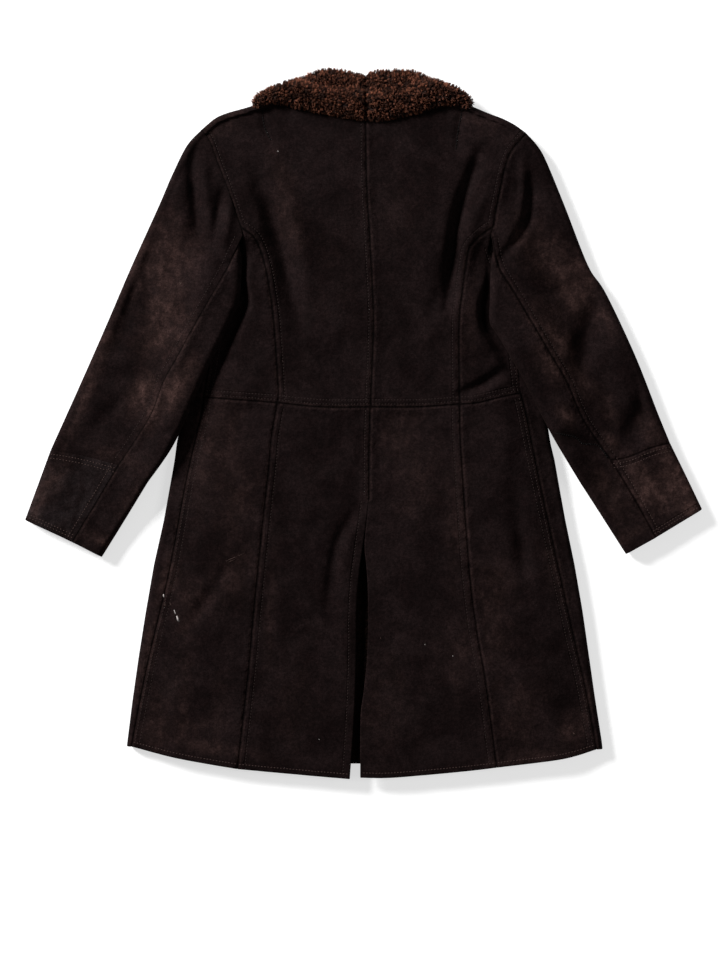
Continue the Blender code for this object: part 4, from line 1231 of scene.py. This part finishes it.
def collar_edge(side, lines):
    """Corners of the line where a front meets the collar's front run, from shoulder to break point."""
    lap = LAP_COLUMNS[side]
    curve = along((*lines["collar_front"][:-1], BREAK_POINT), COLLAR_EDGE_STEPS)
    curve = [place for place in curve[:-1] if (place[0] - lap[0]) * side > LAP_MARGIN]
    return curve + [(x, BREAK_POINT[1] + max(0.0, x * side) * BREAK_SLOPE) for x in lap[:-1]]


FRONT_CROWD = 0.3


def beyond_fold(side, seam, at_waist):
    """Unrolled places just past the side fold, one beside each place of the seam. One is put on the waist."""
    places = [(unrolled(side, y, PAST_FOLD), y) for _, y in seam]
    places[at_waist] = (places[at_waist][0], FRONT_WAIST)
    return places


def on_underside(side, places):
    return [(wrapped_point(side, x, y, 0)[0], y) for x, y in places]


def under_columns(fold, lap, free, y):
    """A row across a front's underside: from the fold to the lap, then the lap's own columns."""
    row = []
    for share in even(free + 1)[:-1]:
        share = mix(share, math.sin(share * math.pi / 2), FRONT_CROWD)
        row.append(mix_points(fold, (lap[0], y), share))
    return row + [(x, y) for x in lap]


def line_up(main, lap, fold, first):
    """Puts a front's lap columns at their own x, and its first column on the fold that the strip ends at."""
    for row in main:
        for k, x in enumerate(lap):
            row[k - len(lap)] = (x, row[k - len(lap)][1])
    for j in range(first, len(main)):
        main[j][0] = (fold[j - first][0], main[j][0][1])
    return main


def wrap_patch(seam, underside):
    """The strip of a front that wraps the side fold."""
    ends = [[mix_points(seam[k], underside[k], u) for u in even(STRIP_COLUMNS)] for k in (0, -1)]
    return patch(seam, underside, *ends)


# Sleeves: rows over which the head's own height settles, columns of the underarm on the upper sleeve, how
# near a fold the distance is measured to the fold's own point, and the places of the under sleeve's columns
SETTLE_ROWS = 3
HEAD_COLUMNS = 2
BY_FOLD = 1.0
NARROW_SHARES = (1, 0.75, 0.5, 0.25)
WIDE_SHARES = (0.33, 0.66, 1.0)


def sleeve_line(lines, edge):
    """The outer or inner edge of a sleeve and its cuff, a point for each row."""
    sleeve = along(lines["sleeve_" + edge], even(SLEEVE_ROWS * SLEEVE_PARTS))
    return sleeve + along(lines["cuff_" + edge], even(CUFF_ROWS * SLEEVE_PARTS))[1:]


def sleeve_base(side, x, y):
    """Height of what a sleeve lies on: the body's edge, or the surface beside it."""
    left, right, _, _ = section(min(y, UNDERARM_Y))
    out = (left - x) if side < 0 else (x - right)
    away = math.hypot(max(0.0, out), max(0.0, y - UNDERARM_Y))
    return (SHELF + LAY_GAP) * smooth(1 - max(0.0, away - SLEEVE_LEVEL) / SLEEVE_RAMP)


def sleeve_point(side, place, depth, way_in, from_fold, thick, under):
    """A point of a sleeve's wall. way_in points in from the nearest fold, which lies from_fold away."""
    x, y = place
    radius = thick / 2
    reach = radius - WALL * depth
    base = sleeve_base(side, x, y)
    if from_fold >= radius:
        if under:
            return x, y, base + WALL * depth
        crease = folds((x, y), SLEEVE_FOLD_PATHS) + ripple(x, y, SLEEVE_SEED)
        return x, y, base + radius + reach + crease * smooth((from_fold - radius) / SLEEVE_FOLD_FADE)
    cosine = 1 - from_fold / radius
    lift = reach * math.sqrt(max(0.0, 1 - cosine * cosine))
    moved = WALL * depth * cosine
    return x + way_in[0] * moved, y + way_in[1] * moved, base + radius + (-lift if under else lift)


def unit(a, b):
    length = math.dist(a, b)
    return (b[0] - a[0]) / length, (b[1] - a[1]) / length


def toward(a, b, distance):
    way = unit(a, b)
    return a[0] + way[0] * distance, a[1] + way[1] * distance


def ring_place(side, top_plan, under_plan, fold_line, far_line, head_thick, first_row):
    """Places of a sleeve piece. Its columns run over the top to the fold, then back underneath."""
    turn = len(top_plan[0]) - 1

    def place(i, j, depth):
        under = i > turn
        spot = under_plan[j][i - turn] if under else top_plan[j][i]
        fold = fold_line[first_row + j]
        way_in = unit(fold, far_line[first_row + j])
        from_fold = abs((spot[0] - fold[0]) * way_in[0] + (spot[1] - fold[1]) * way_in[1])
        if i != turn and from_fold < BY_FOLD:
            from_fold = math.dist(spot, fold)
        if i == turn:
            from_fold = 0.0
        settle = smooth((first_row + j) / (SETTLE_ROWS * SLEEVE_PARTS))
        thick = mix(head_thick(i), SLEEVE_THICK, settle)
        return sleeve_point(side, spot, depth, way_in, from_fold, thick, under)

    return place


def sleeve_pieces(side, lines):
    """Upper sleeve, cuff and under sleeve. Each is a strip of rings from the armhole to the cuff."""
    name = side_name(side)
    outer, inner = sleeve_line(lines, "outer"), sleeve_line(lines, "inner")
    armhole = along(lines["armhole"], ARMHOLE_STEPS)
    head_steps = finer(ARMHOLE_STEPS, RING_PARTS)
    underarm = along(lines["underarm"], even(SIDE_COLUMNS * RING_PARTS))
    head = along(lines["armhole"], head_steps) + underarm[1:HEAD_COLUMNS * RING_PARTS + 1]
    rows, cuff_rows = SLEEVE_ROWS * SLEEVE_PARTS, CUFF_ROWS * SLEEVE_PARTS
    back_seam = along((head[-1], *lines["sleeve_seam"][1:]), even(rows))
    cuff_back = along(lines["cuff_back"], even(cuff_rows))
    front_seam = [armhole[FRONT_SEAM_SAMPLE]]
    front_seam += [mix_points(o, i, FRONT_SEAM_SHARE) for o, i in zip(outer[1:], inner[1:])]
    radius = SLEEVE_THICK / 2
    bend = (1 - math.sqrt(0.5)) * radius
    heights = [max(THINNEST_SLEEVE, body_top(*spot) - sleeve_base(side, *spot)) for spot in head[::-1]]
    columns = len(head) - 1

    def upper_thick(i):
        tip_share = smooth((i - columns + HEAD_COLUMNS * RING_PARTS) / RING_PARTS)
        return mix(heights[min(i, columns)], 2 * SHOULDER_FOLD, tip_share)

    cuff_seam = along(lines["cuff_seam"], finer(CUFF_STEPS, RING_PARTS))
    top = patch(outer[:rows + 1], back_seam, head, cuff_seam)
    top = [row[::-1] for row in inset(top, "rtb")]
    under = [head[:FRONT_SEAM_SAMPLE * RING_PARTS + 1]]
    for o, f in zip(outer[1:], front_seam[1:]):
        far = math.dist(o, f)
        line = [o] + [toward(o, f, d) for d in (bend, radius, mix(radius, far, 0.5), far)]
        under.append(finer_line(line, RING_PARTS))
    ring = columns + FRONT_SEAM_SAMPLE * RING_PARTS
    make_piece(
        "cloth_sleeve_top_" + name, ring, rows,
        ring_place(side, top, inset(under[:rows + 1], "rtb"), outer, inner, upper_thick, 0),
    )
    hem = along(lines["cuff_hem"], finer(CUFF_STEPS, RING_PARTS))
    top = patch(outer[rows:], cuff_back, cuff_seam, hem)
    top = [row[::-1] for row in inset(top, "rt")]
    make_piece(
        "cloth_cuff_" + name, ring, cuff_rows,
        ring_place(side, top, inset(under[rows:], "rt"), outer, inner, upper_thick, rows),
        CUFF_SUEDE if side < 0 else SUEDE,
    )

    seam = back_seam + cuff_back[1:]
    top, under = [], []
    for s, i, f in zip(seam, inner, front_seam):
        far = math.dist(s, i)
        steps = [far * share for share in NARROW_SHARES]
        if far > NARROW * radius:
            steps = (far, mix(radius, far, 0.5), radius, bend)
        top.append([toward(i, s, d) for d in steps] + [i])
        far = math.dist(i, f)
        steps = (bend, radius, *(mix(radius, far, share) for share in WIDE_SHARES))
        under.append([i] + [toward(i, f, d) for d in steps])
    under[0] = under[0][:3] + armhole[FRONT_SEAM_SAMPLE + 2:FRONT_SEAM_SAMPLE - 1:-1]
    top = inset([finer_line(row, RING_PARTS) for row in top], "lt")
    under = inset([finer_line(row, RING_PARTS) for row in under], "rt")
    make_piece(
        "cloth_sleeve_under_" + name, len(top[0]) + len(under[0]) - 2, rows + cuff_rows,
        ring_place(side, top, under, inner, outer, lambda i: UNDER_SLEEVE_THICK, 0),
    )


GUSSET_OUT = 4.0
GUSSET_DOWN = 8.0
GUSSET_AT = 13.0
GUSSET_SIZE = (9.0, 15.0, 6.0)
GUSSET_ROUNDS = 3


def gusset(side, lines):
    """A pad of suede inside the armpit, where the body and the sleeve meet at a corner."""
    x, y = lines["underarm"][1]
    mesh = ball("gusset", GUSSET_ROUNDS, (SUEDE,))
    place = placed(x + side * GUSSET_OUT, y - GUSSET_DOWN, GUSSET_AT)
    mesh.transform(Matrix.Translation(place) @ Matrix.Diagonal((*(v * MM for v in GUSSET_SIZE), 1.0)))
    add_object("armpit_gusset_" + side_name(side), mesh)


for SIDE, LINES in SIDES:
    back_panels(SIDE, LINES)
    front_panels(SIDE, LINES)
    sleeve_pieces(SIDE, LINES)
    gusset(SIDE, LINES)

for piece in SUEDE_PIECES:
    NODE = piece.name.replace("cloth_", "")
    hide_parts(NODE)


# Many small things


def joined(name, shape, places, material, tints=None):
    """One mesh of many copies of a small shape, each put in place by its own matrix."""
    corners = np.array([tuple(f.vertices) for f in shape.polygons])
    points = np.array([(*v.co, 1.0) for v in shape.vertices])
    turned = np.einsum("nij,vj->nvi", np.array([np.array(m) for m in places]), points)[..., :3]
    faces = corners + len(points) * np.arange(len(places))[:, None, None]
    mesh = bpy.data.meshes.new(name)
    mesh.from_pydata(turned.reshape(-1, 3).tolist(), [], faces.reshape(-1, corners.shape[1]).tolist())
    mesh.materials.append(material)
    mesh.shade_smooth()
    if tints:
        tips = np.tile(points[:, 2] / points[:, 2].max(), len(places))
        for kind, values in (("tip", tips), ("tint", np.repeat(tints, len(points)))):
            mesh.attributes.new(kind, "FLOAT", "POINT").data.foreach_set("value", values.astype(np.float32))
    return add_object(name, mesh)


ABOVE = 200.0
DOWN = Vector((0, 0, -1))


class Skin:
    """The coat's surface as seen from above, and which part of the coat each face belongs to."""

    def __init__(self, objects):
        points, faces = [], []
        self.parts = []
        for piece in objects:
            start = len(points)
            points += [v.co.copy() for v in piece.data.vertices]
            faces += [tuple(start + k for k in f.vertices) for f in piece.data.polygons]
            self.parts += [part_of(piece.name)] * len(piece.data.polygons)
        self.tree = BVHTree.FromPolygons(points, faces)

    def at(self, place, part=None):
        """Where a plan place lies on the surface and which way that faces, or None if it is another part."""
        spot, normal, face, _ = self.tree.ray_cast(Vector(placed(*place, ABOVE)), DOWN)
        if spot is None or (part and self.parts[face] != part):
            return None, None
        return spot, normal if normal.z > 0 else -normal


SKIN = Skin(SUEDE_PIECES)


def lying(a, b, normal, size):
    """The matrix of a small ball that lies on the surface from a to b, with its half sizes in metres."""
    way = (b - a).normalized()
    up = (normal - way * normal.dot(way)).normalized()
    turn = Matrix((way, up.cross(way), up)).transposed().to_4x4()
    return Matrix.Translation((a + b) / 2) @ turn @ Matrix.Diagonal((*size, 1.0))


STITCH_STEP = 4.3
STITCH_SIZE = (3.3 / 2 * MM, 0.55 * MM, 0.42 * MM)
STITCH_ENDS = (0.12, 0.88)
STITCH_THIN = 4
LARGEST_STEP = 3.0
HEM_ROWS_BELOW = -440
CUFF_ROWS_BEYOND = 372


def stitch_places(line, part):
    """A matrix for each stitch of a row, lying along the row on the suede."""
    places = []
    count = int(line_length(line) / STITCH_STEP)
    shares = [(k + end) / count for k in range(count) for end in STITCH_ENDS]
    ends = along(line[::STITCH_THIN] + [line[-1]], shares)
    for a, b in zip(ends[::2], ends[1::2]):
        start, normal = SKIN.at(a, part)
        end, _ = SKIN.at(b, part)
        if start and end and abs(start.z - end.z) <= LARGEST_STEP * MM:
            places.append(lying(start, end, normal, STITCH_SIZE))
    return places


def sew():
    """All the topstitching. Along the hem and the cuffs the thread is rubbed pale."""
    places = {"topstitching": [], "edge_stitching": []}
    for part, lines in STITCH_LINES.items():
        for line in lines:
            x, y = line[len(line) // 2]
            at_edge = y < HEM_ROWS_BELOW or abs(x) > CUFF_ROWS_BEYOND
            places["edge_stitching" if at_edge else "topstitching"] += stitch_places(line, part)
    for name, thread in (("topstitching", THREAD), ("edge_stitching", EDGE_THREAD)):
        joined(name, ball("stitch", 1), places[name], thread)


sew()


# Fur


NECK_STEPS = 12
NECK_EDGES = {
    side: along(lines["shoulder"], even(NECK_STEPS))[:-1] + along(lines["neck"], even(NECK_STEPS))
    for side, lines in SIDES
}

# The collar's lumps, each with its size, seed and height, where it is drawn in at its tip as shares of its
# length, how low it is at the parting, and in what share of its length it rises from there
COLLAR_LUMPS = ((12, 5.0, 2.2), (5, 9.0, 1.2))
COLLAR_END = (0.8, 0.2)
PARTING_LOW = 0.12
PARTING_RISE = 0.045
RUN_PARTS = (5, 4)
RUN_LUMPS = (9, 2.0, 0.8)


def neck_edge(x):
    """y of the body's edge under the collar at this x."""
    path = NECK_EDGES[-1 if x < CENTRE_BACK[0][0] else 1]
    for a, b in zip(path, path[1:]):
        if min(a[0], b[0]) <= x <= max(a[0], b[0]):
            return mix(a[1], b[1], (x - a[0]) / ((b[0] - a[0]) or 1.0))
    return path[0][1]


def lump(x, y, size, seed, high):
    return high * noise.noise((x / size, y / size, seed))


def collar_fall(side, lines):
    """The inner part of one half of the collar, where it lies on the back of the neck."""
    top = along(lines["collar_top"], even(COLLAR_COLUMNS))
    low = along(lines["collar_low"], even(COLLAR_COLUMNS))
    ends = [[mix_points(top[k], low[k], v) for v in even(COLLAR_ROWS)] for k in (0, -1)]
    plan = patch(*ends, top, low)

    def place(i, j, depth):
        x, y = plan[j][i]
        share, u = j / COLLAR_ROWS, i / COLLAR_COLUMNS
        y += COLLAR_INSET * (2 * share - 1)
        x -= side * (COLLAR_INSET * smooth((u - COLLAR_END[0]) / COLLAR_END[1]) - PART_GAP * (1 - u))
        edge = neck_edge(x)
        beyond = y - edge
        on_body = body_top(x, min(y, edge)) + LAY_GAP
        base = mix(on_body, 0.0, smooth((beyond - COLLAR_DROP_FROM) / COLLAR_DROP))
        full = mix(COLLAR_THICK, COLLAR_ROLL, smooth((beyond - COLLAR_ROLL_FROM) / COLLAR_DROP))
        tip_share = smooth((u - COLLAR_TAPER_FROM) / (1 - COLLAR_TAPER_FROM))
        bulge = (1 - abs(2 * share - 1) ** COLLAR_ROUND) * (1 - COLLAR_TAPER * tip_share)
        bulge *= mix(PARTING_LOW, 1.0, smooth(u / PARTING_RISE))
        lumps = sum(lump(x, y, *values) for values in COLLAR_LUMPS) * bulge
        return x, y, base + (1 - depth) * (mix(COLLAR_RIM, full, bulge) + lumps)

    return walled("fur_base_" + side_name(side), COLLAR_COLUMNS, COLLAR_ROWS, place, (FLEECE,))


def collar_run(side, lines):
    """The inner part of the collar's run down the hidden front."""
    near = collar_edge(side, lines)
    near[-1] = (side * FRONT_RUN_SIDE, BREAK_POINT[1] + FRONT_RUN_SIDE * BREAK_SLOPE)
    end = (side * FRONT_RUN_SIDE, BREAK_POINT[1] + FRONT_RUN_WIDE)
    far = along((*lines["collar_roll"][:-1], end), even(len(near) - 1))
    for line in (near, far):
        line.insert(0, (line[0][0], line[0][1] + COLLAR_TUCK))
    ends = [[mix_points(near[k], far[k], u) for u in even(RUN_COLUMNS)] for k in (0, -1)]
    run = finer_plan(inset(patch(near, far, *ends), "l"), *RUN_PARTS)

    def place(i, j, depth):
        x, y = run[j][i]
        return x, y, mix(WALL, FRONT_RUN_LIFT + lump(x, y, *RUN_LUMPS), depth)

    return walled("fur_run_base_" + side_name(side), len(run[0]) - 1, len(run) - 1, place, (FLEECE,))


# A lock of fur: corners round it, its rings as height, width, lean and sway, and its tip's height and lean.
# Four shapes of it differ in how far they lean and sway.
LOCK_SIDES = 4
LOCK_RINGS = ((0.42, 1.0, 0.12, 0.14), (0.78, 0.66, 0.5, -0.1))
LOCK_TIP = (1.0, 0.86)
LOCK_SHAPES = ((0.9, 0.8), (1.4, -0.9), (0.5, 1.3), (1.8, 0.4))


def lock_shape(curl, wave):
    """A tapering lock of fur, 1 high and about 1 across each way at its root, that bends and waves."""
    shape = bmesh.new()
    bmesh.ops.create_circle(shape, segments=LOCK_SIDES, radius=1.0)
    edges = shape.edges[:]
    for height, wide, lean, sway in LOCK_RINGS:
        ring, edges = grown_ring(shape, edges)
        middle = sum((v.co for v in ring), Vector()) / len(ring)
        goal = Vector((lean * curl, sway * wave, height))
        for vert in ring:
            vert.co = goal + (vert.co - middle).normalized() * wide
    ring, _ = grown_ring(shape, edges)
    bmesh.ops.pointmerge(shape, verts=ring, merge_co=(LOCK_TIP[1] * curl, 0.0, LOCK_TIP[0]))
    bmesh.ops.triangulate(shape, faces=shape.faces[:])
    bmesh.ops.recalc_face_normals(shape, faces=shape.faces[:])
    return mesh_of(shape, "lock")


def grown_ring(shape, edges):
    """Extrudes a ring of edges and returns the new corners and edges."""
    grown = bmesh.ops.extrude_edge_only(shape, edges=edges)["geom"]
    return [[g for g in grown if isinstance(g, kind)] for kind in (bmesh.types.BMVert, bmesh.types.BMEdge)]


def spots_on(piece, count, chance, keep):
    """Random places on a piece's surface and its direction there, evenly spread over its area.

    The operators don't leave the faces in the same order each time, so the triangles are sorted.
    """
    mesh = piece.data
    mesh.calc_loop_triangles()
    triangles = sorted((t for t in mesh.loop_triangles if keep(t.normal)), key=lambda t: tuple(t.vertices))
    found = []
    for triangle in chance.choices(triangles, weights=[t.area for t in triangles], k=count):
        a, b, c = (mesh.vertices[k].co for k in triangle.vertices)
        u, v = chance.random(), chance.random()
        if u + v > 1:
            u, v = 1 - u, 1 - v
        found.append((a + (b - a) * u + (c - a) * v, triangle.normal))
    return found


# Fur on each half: locks, seed, the least and greatest length and half width of a lock and lean of a curl in
# radians, the direction's least rise if it has one, and the range of the surface's own rise where it grows
COLLAR_FUR = (9300, 20, (4.4, 8.0), (0.36, 0.6), (0.55, 1.2), None, (-0.3, 2.0))
RUN_FUR = (2200, 40, (5.0, 8.0), (0.8, 1.4), (1.2, 1.4), 0.0, (-2.0, -0.5))
LOCKS_IN_CURL = 5
CURL_SPREAD = 1.0
FUR_LOWEST = 2.0
ROOT_DEEP = 1.0
SWIRL_SIZE = 14
SWIRL_TURN = 5.0
SWIRL_PULL = 0.8
TINT_SIZE = 9
TINT_SEED = 3.0
TINT_MIDDLE = 0.5
TINT_BROAD = 0.7
TINT_CURL = 0.35
TINT_LOCK = 0.15
LOCK_TURN = 0.9
LOCK_FLAT = 0.7
LEAST_ANGLE = 0.05
PARTING_X = 4.5
PARTING_WIDE = 6.0
PARTING_GAP = 1.5
PARTING_PULL = 2.0
PULL_MIDDLE = 462
PULL_HIGH = 34
PULL_TIP = (95, 50)
PULL_OUT = 1.3
PULL_UP = 1.1


def lifted(axis, least):
    """The direction with at least so much rise, or as it is where there is no least."""
    if least is None:
        return axis
    return Vector((axis.x, axis.y, max(axis.z, least))).normalized()


def curl_tips(spots, fur, seed, chance, pull):
    """Where the locks of each curl meet, the way in which it lies and how pale it is."""
    _, _, long, _, tilt, least, _ = fur
    curls = []
    for root, normal in spots:
        x, y = plan_place(root)
        swirl = noise.noise((x / SWIRL_SIZE, y / SWIRL_SIZE, seed)) * SWIRL_TURN + chance.uniform(-1.0, 1.0)
        px, py = pull(x, y)
        way = Vector((px + SWIRL_PULL * math.cos(swirl), py + SWIRL_PULL * math.sin(swirl), 0.0)).normalized()
        lean = mix(*tilt, chance.random())
        axis = lifted((normal * math.cos(lean) + way * math.sin(lean)).normalized(), least)
        broad = noise.noise((x / TINT_SIZE, y / TINT_SIZE, seed + TINT_SEED))
        tint = TINT_MIDDLE + TINT_BROAD * broad + chance.uniform(-TINT_CURL, TINT_CURL)
        curls.append((root + axis * mix(*long, chance.random()) * MM, way, tint))
    return curls


def grow(name, base, fur, side, pull):
    """Curls of fur over a base piece. A curl's locks meet at its tip, and it lies the way of pull(x, y)."""
    count, seed, long, thin, _, least, rises = fur
    chance = random.Random(seed + side)

    def spots(amount):
        return spots_on(base, amount, chance, lambda normal: rises[0] < normal.z < rises[1])

    curls = curl_tips(spots(count // LOCKS_IN_CURL), fur, seed + side, chance, pull)
    tree = KDTree(len(curls))
    for k, (tip, _, _) in enumerate(curls):
        tree.insert(tip, k)
    tree.balance()
    places, tints = ([[] for _ in LOCK_SHAPES] for _ in range(2))
    for spot, normal in spots(count):
        if abs(plan_place(spot)[0] - PARTING_X) < PARTING_GAP and normal.z > 0:
            continue
        tip, way, tint = curls[tree.find(spot + normal * long[0] * MM)[1]]
        goal = tip + Vector([chance.gauss(0.0, CURL_SPREAD * MM) for _ in range(3)])
        for end in (spot, goal):
            end.z = max(end.z, FUR_LOWEST * MM)
        reach = min((goal - spot).length, long[1] * MM)
        axis = lifted((goal - spot).normalized(), least)
        across = axis.cross(way if way.cross(axis).length > LEAST_ANGLE else Vector((0, 0, 1))).normalized()
        turn = Matrix((across.cross(axis), across, axis)).transposed().to_4x4()
        turn = turn @ Matrix.Rotation(chance.uniform(-LOCK_TURN, LOCK_TURN), 4, "Z")
        wide = mix(*thin, chance.random()) * MM
        size = Matrix.Diagonal((wide, wide * LOCK_FLAT, reach, 1.0))
        kind = chance.randrange(len(LOCK_SHAPES))
        places[kind].append(Matrix.Translation(spot - axis * ROOT_DEEP * MM) @ turn @ size)
        tints[kind].append(min(1.0, max(0.0, tint + chance.uniform(-TINT_LOCK, TINT_LOCK))))
    parts = [joined(name, lock_shape(*bends), p, FUR, t) for bends, p, t in zip(LOCK_SHAPES, places, tints)]
    with bpy.context.temp_override(active_object=parts[0], selected_editable_objects=parts):
        bpy.ops.object.join()
    parts[0].name = name
    return parts[0]


def collar_pull(side):
    """The way of the collar's locks: down at its lower edge, up at its upper one, out at its tip."""
    def pull(x, y):
        rise = (y - PULL_MIDDLE) / PULL_HIGH
        parting = PARTING_PULL * math.exp(-abs(x - PARTING_X) / PARTING_WIDE)
        out = smooth((abs(x) - PULL_TIP[0]) / PULL_TIP[1]) + parting
        return side * out * PULL_OUT, max(-1.0, min(1.0, rise)) * PULL_UP

    return pull


def cover(node):
    """Hides the imported part of a collar piece that the fur's base and its fur take the place of."""
    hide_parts(node)


for SIDE, LINES in SIDES:
    NAME = side_name(SIDE)
    FALL = collar_fall(SIDE, LINES)
    CURLS = grow("fur_" + NAME, FALL, COLLAR_FUR, SIDE, collar_pull(SIDE))
    cover("collar_" + NAME)
    RUN = collar_run(SIDE, LINES)
    PILE = grow("fur_run_" + NAME, RUN, RUN_FUR, SIDE, lambda x, y: (0.0, -1.0))
    cover("collar_front_" + NAME)


# Scratches and flecks that lie on the suede: start, end, half width, how plain it shows
MARKS = (
    ("start", "end", "wide", "shows"),
    ((-279, -239), (-278, -244), 1.1, "pale"),
    ((-277, -250), (-276, -258), 0.4, "faint"),
    ((-270, -250), (-268, -256), 0.6, "faint"),
    ((-264, -261), (-261, -268), 0.9, "pale"),
    ((-260, -269), (-257, -278), 1.7, "pale"),
    ((-192, -193), (-164, -181), 0.35, "faint"),
    ((-188, -194), (-178, -190), 0.3, "faint"),
    ((-256, 198), (-253, 194), 0.5, "faint"),
    ((-252, 198), (-256, 194), 0.4, "faint"),
    ((-119, 382), (-117, 380), 0.6, "pale"),
    ((87, -309), (88, -310), 0.6, "pale"),
    ((126, -325), (127, -326), 0.6, "pale"),
    ((-61, -442), (-60, -443), 0.6, "pale"),
    ((25, -300), (26, -301), 0.5, "faint"),
    ((295, -433), (298, -436), 1.0, "faint"),
    ((-112, 88), (-111, 87), 0.5, "faint"),
)


# Painted shade along sunken lines, drawn as many short dark marks: points of the curve, parts, half width
ELBOW_CREASE = ((262, -13), (283, -16), (299, -20), (308, -28), (327, -29.5), (336, -37), (344, -48))
SUNKEN_LINES = ((LEFT["dart"], 14, 1.3), (RIGHT["dart"], 14, 1.3), (ELBOW_CREASE, 30, 1.4))
MARK_LONG = 0.6
MARK_HIGH = 0.12


def sunken_marks():
    """Painted shade along each shoulder dart and the crease at the right elbow, as dark marks."""
    found = []
    for points, parts, wide in SUNKEN_LINES:
        line = along(points, even(parts))
        found += [(a, b, wide, "dark") for a, b in zip(line[1:], line[2:])]
    return found


def scuff():
    """Thin slivers on the nap, where it is scratched or flecked, and painted shade along the darts and the
    elbow's crease.
    """
    places = {"pale": [], "faint": [], "dark": []}
    for start, end, wide, shows in (*MARKS[1:], *sunken_marks()):
        a, normal = SKIN.at(start)
        b, _ = SKIN.at(end)
        size = ((b - a).length * MARK_LONG, wide * MM, MARK_HIGH * MM)
        places[shows].append(lying(a, b, normal, size))
    for shows, finish in (("pale", PALE_MARK), ("faint", FAINT_MARK), ("dark", DART_SHADE)):
        joined(shows + "_marks", ball("mark", 1), places[shows], finish)


scuff()


# Floor, light and camera, in metres


WHITE = (1.0, 1.0, 1.0, 1.0)
FLOOR_HALF = 600.0
FLOOR_DROP = 0.0006
FLOOR_LOOK = {
    "Base Color": (0.5, 0.5, 0.5, 1.0), "Roughness": 0.9, "Emission Color": WHITE, "Emission Strength": 0.62,
}
# Soft lights: name, place, side of the square, power
SOFT_LIGHTS = (
    ("key_softbox", (-7.2, 5.25, 4.2), 2.6, 2700.0),
    ("fill_softbox", (5.0, 0.6, 4.6), 2.4, 80.0),
)
DAYLIGHT = 0.14
CAMERA_OVER = (-3.5, -79.1)
CAMERA_FAR = 3.2
CAMERA_ABOVE = 0.02
VIEW_TALL = 1.344
SENSOR = 36.0


def make_floor():
    plate = bmesh.new()
    bmesh.ops.create_grid(plate, x_segments=1, y_segments=1, size=FLOOR_HALF)
    bmesh.ops.translate(plate, verts=plate.verts[:], vec=(0, 0, -FLOOR_DROP))
    plane = bpy.data.objects.new("floor", mesh_of(plate, "floor", (Finish("pale_floor").give(FLOOR_LOOK),)))
    bpy.context.scene.collection.objects.link(plane)


def soft_light(name, place, size, power):
    light = bpy.data.lights.new(name, "AREA")
    light.size = size
    light.energy = power
    lamp = bpy.data.objects.new(name, light)
    lamp.location = place
    lamp.rotation_euler = (-Vector(place)).to_track_quat("-Z", "Y").to_euler()
    bpy.context.scene.collection.objects.link(lamp)


def make_world():
    world = bpy.data.worlds.new("studio")
    world.use_nodes = True
    sky = world.node_tree.nodes["Background"]
    sky.inputs["Color"].default_value = WHITE
    sky.inputs["Strength"].default_value = DAYLIGHT
    bpy.context.scene.world = world
    bpy.context.scene.view_settings.view_transform = "Standard"


def make_camera():
    view = bpy.data.cameras.new("photograph")
    view.sensor_fit = "VERTICAL"
    view.sensor_height = SENSOR
    view.lens = SENSOR * CAMERA_FAR / VIEW_TALL
    camera = bpy.data.objects.new("photograph", view)
    camera.location = placed(*CAMERA_OVER, (CAMERA_FAR + CAMERA_ABOVE) / MM)
    bpy.context.scene.collection.objects.link(camera)
    bpy.context.scene.camera = camera


make_floor()
for LIGHT in SOFT_LIGHTS:
    soft_light(*LIGHT)
make_world()
make_camera()
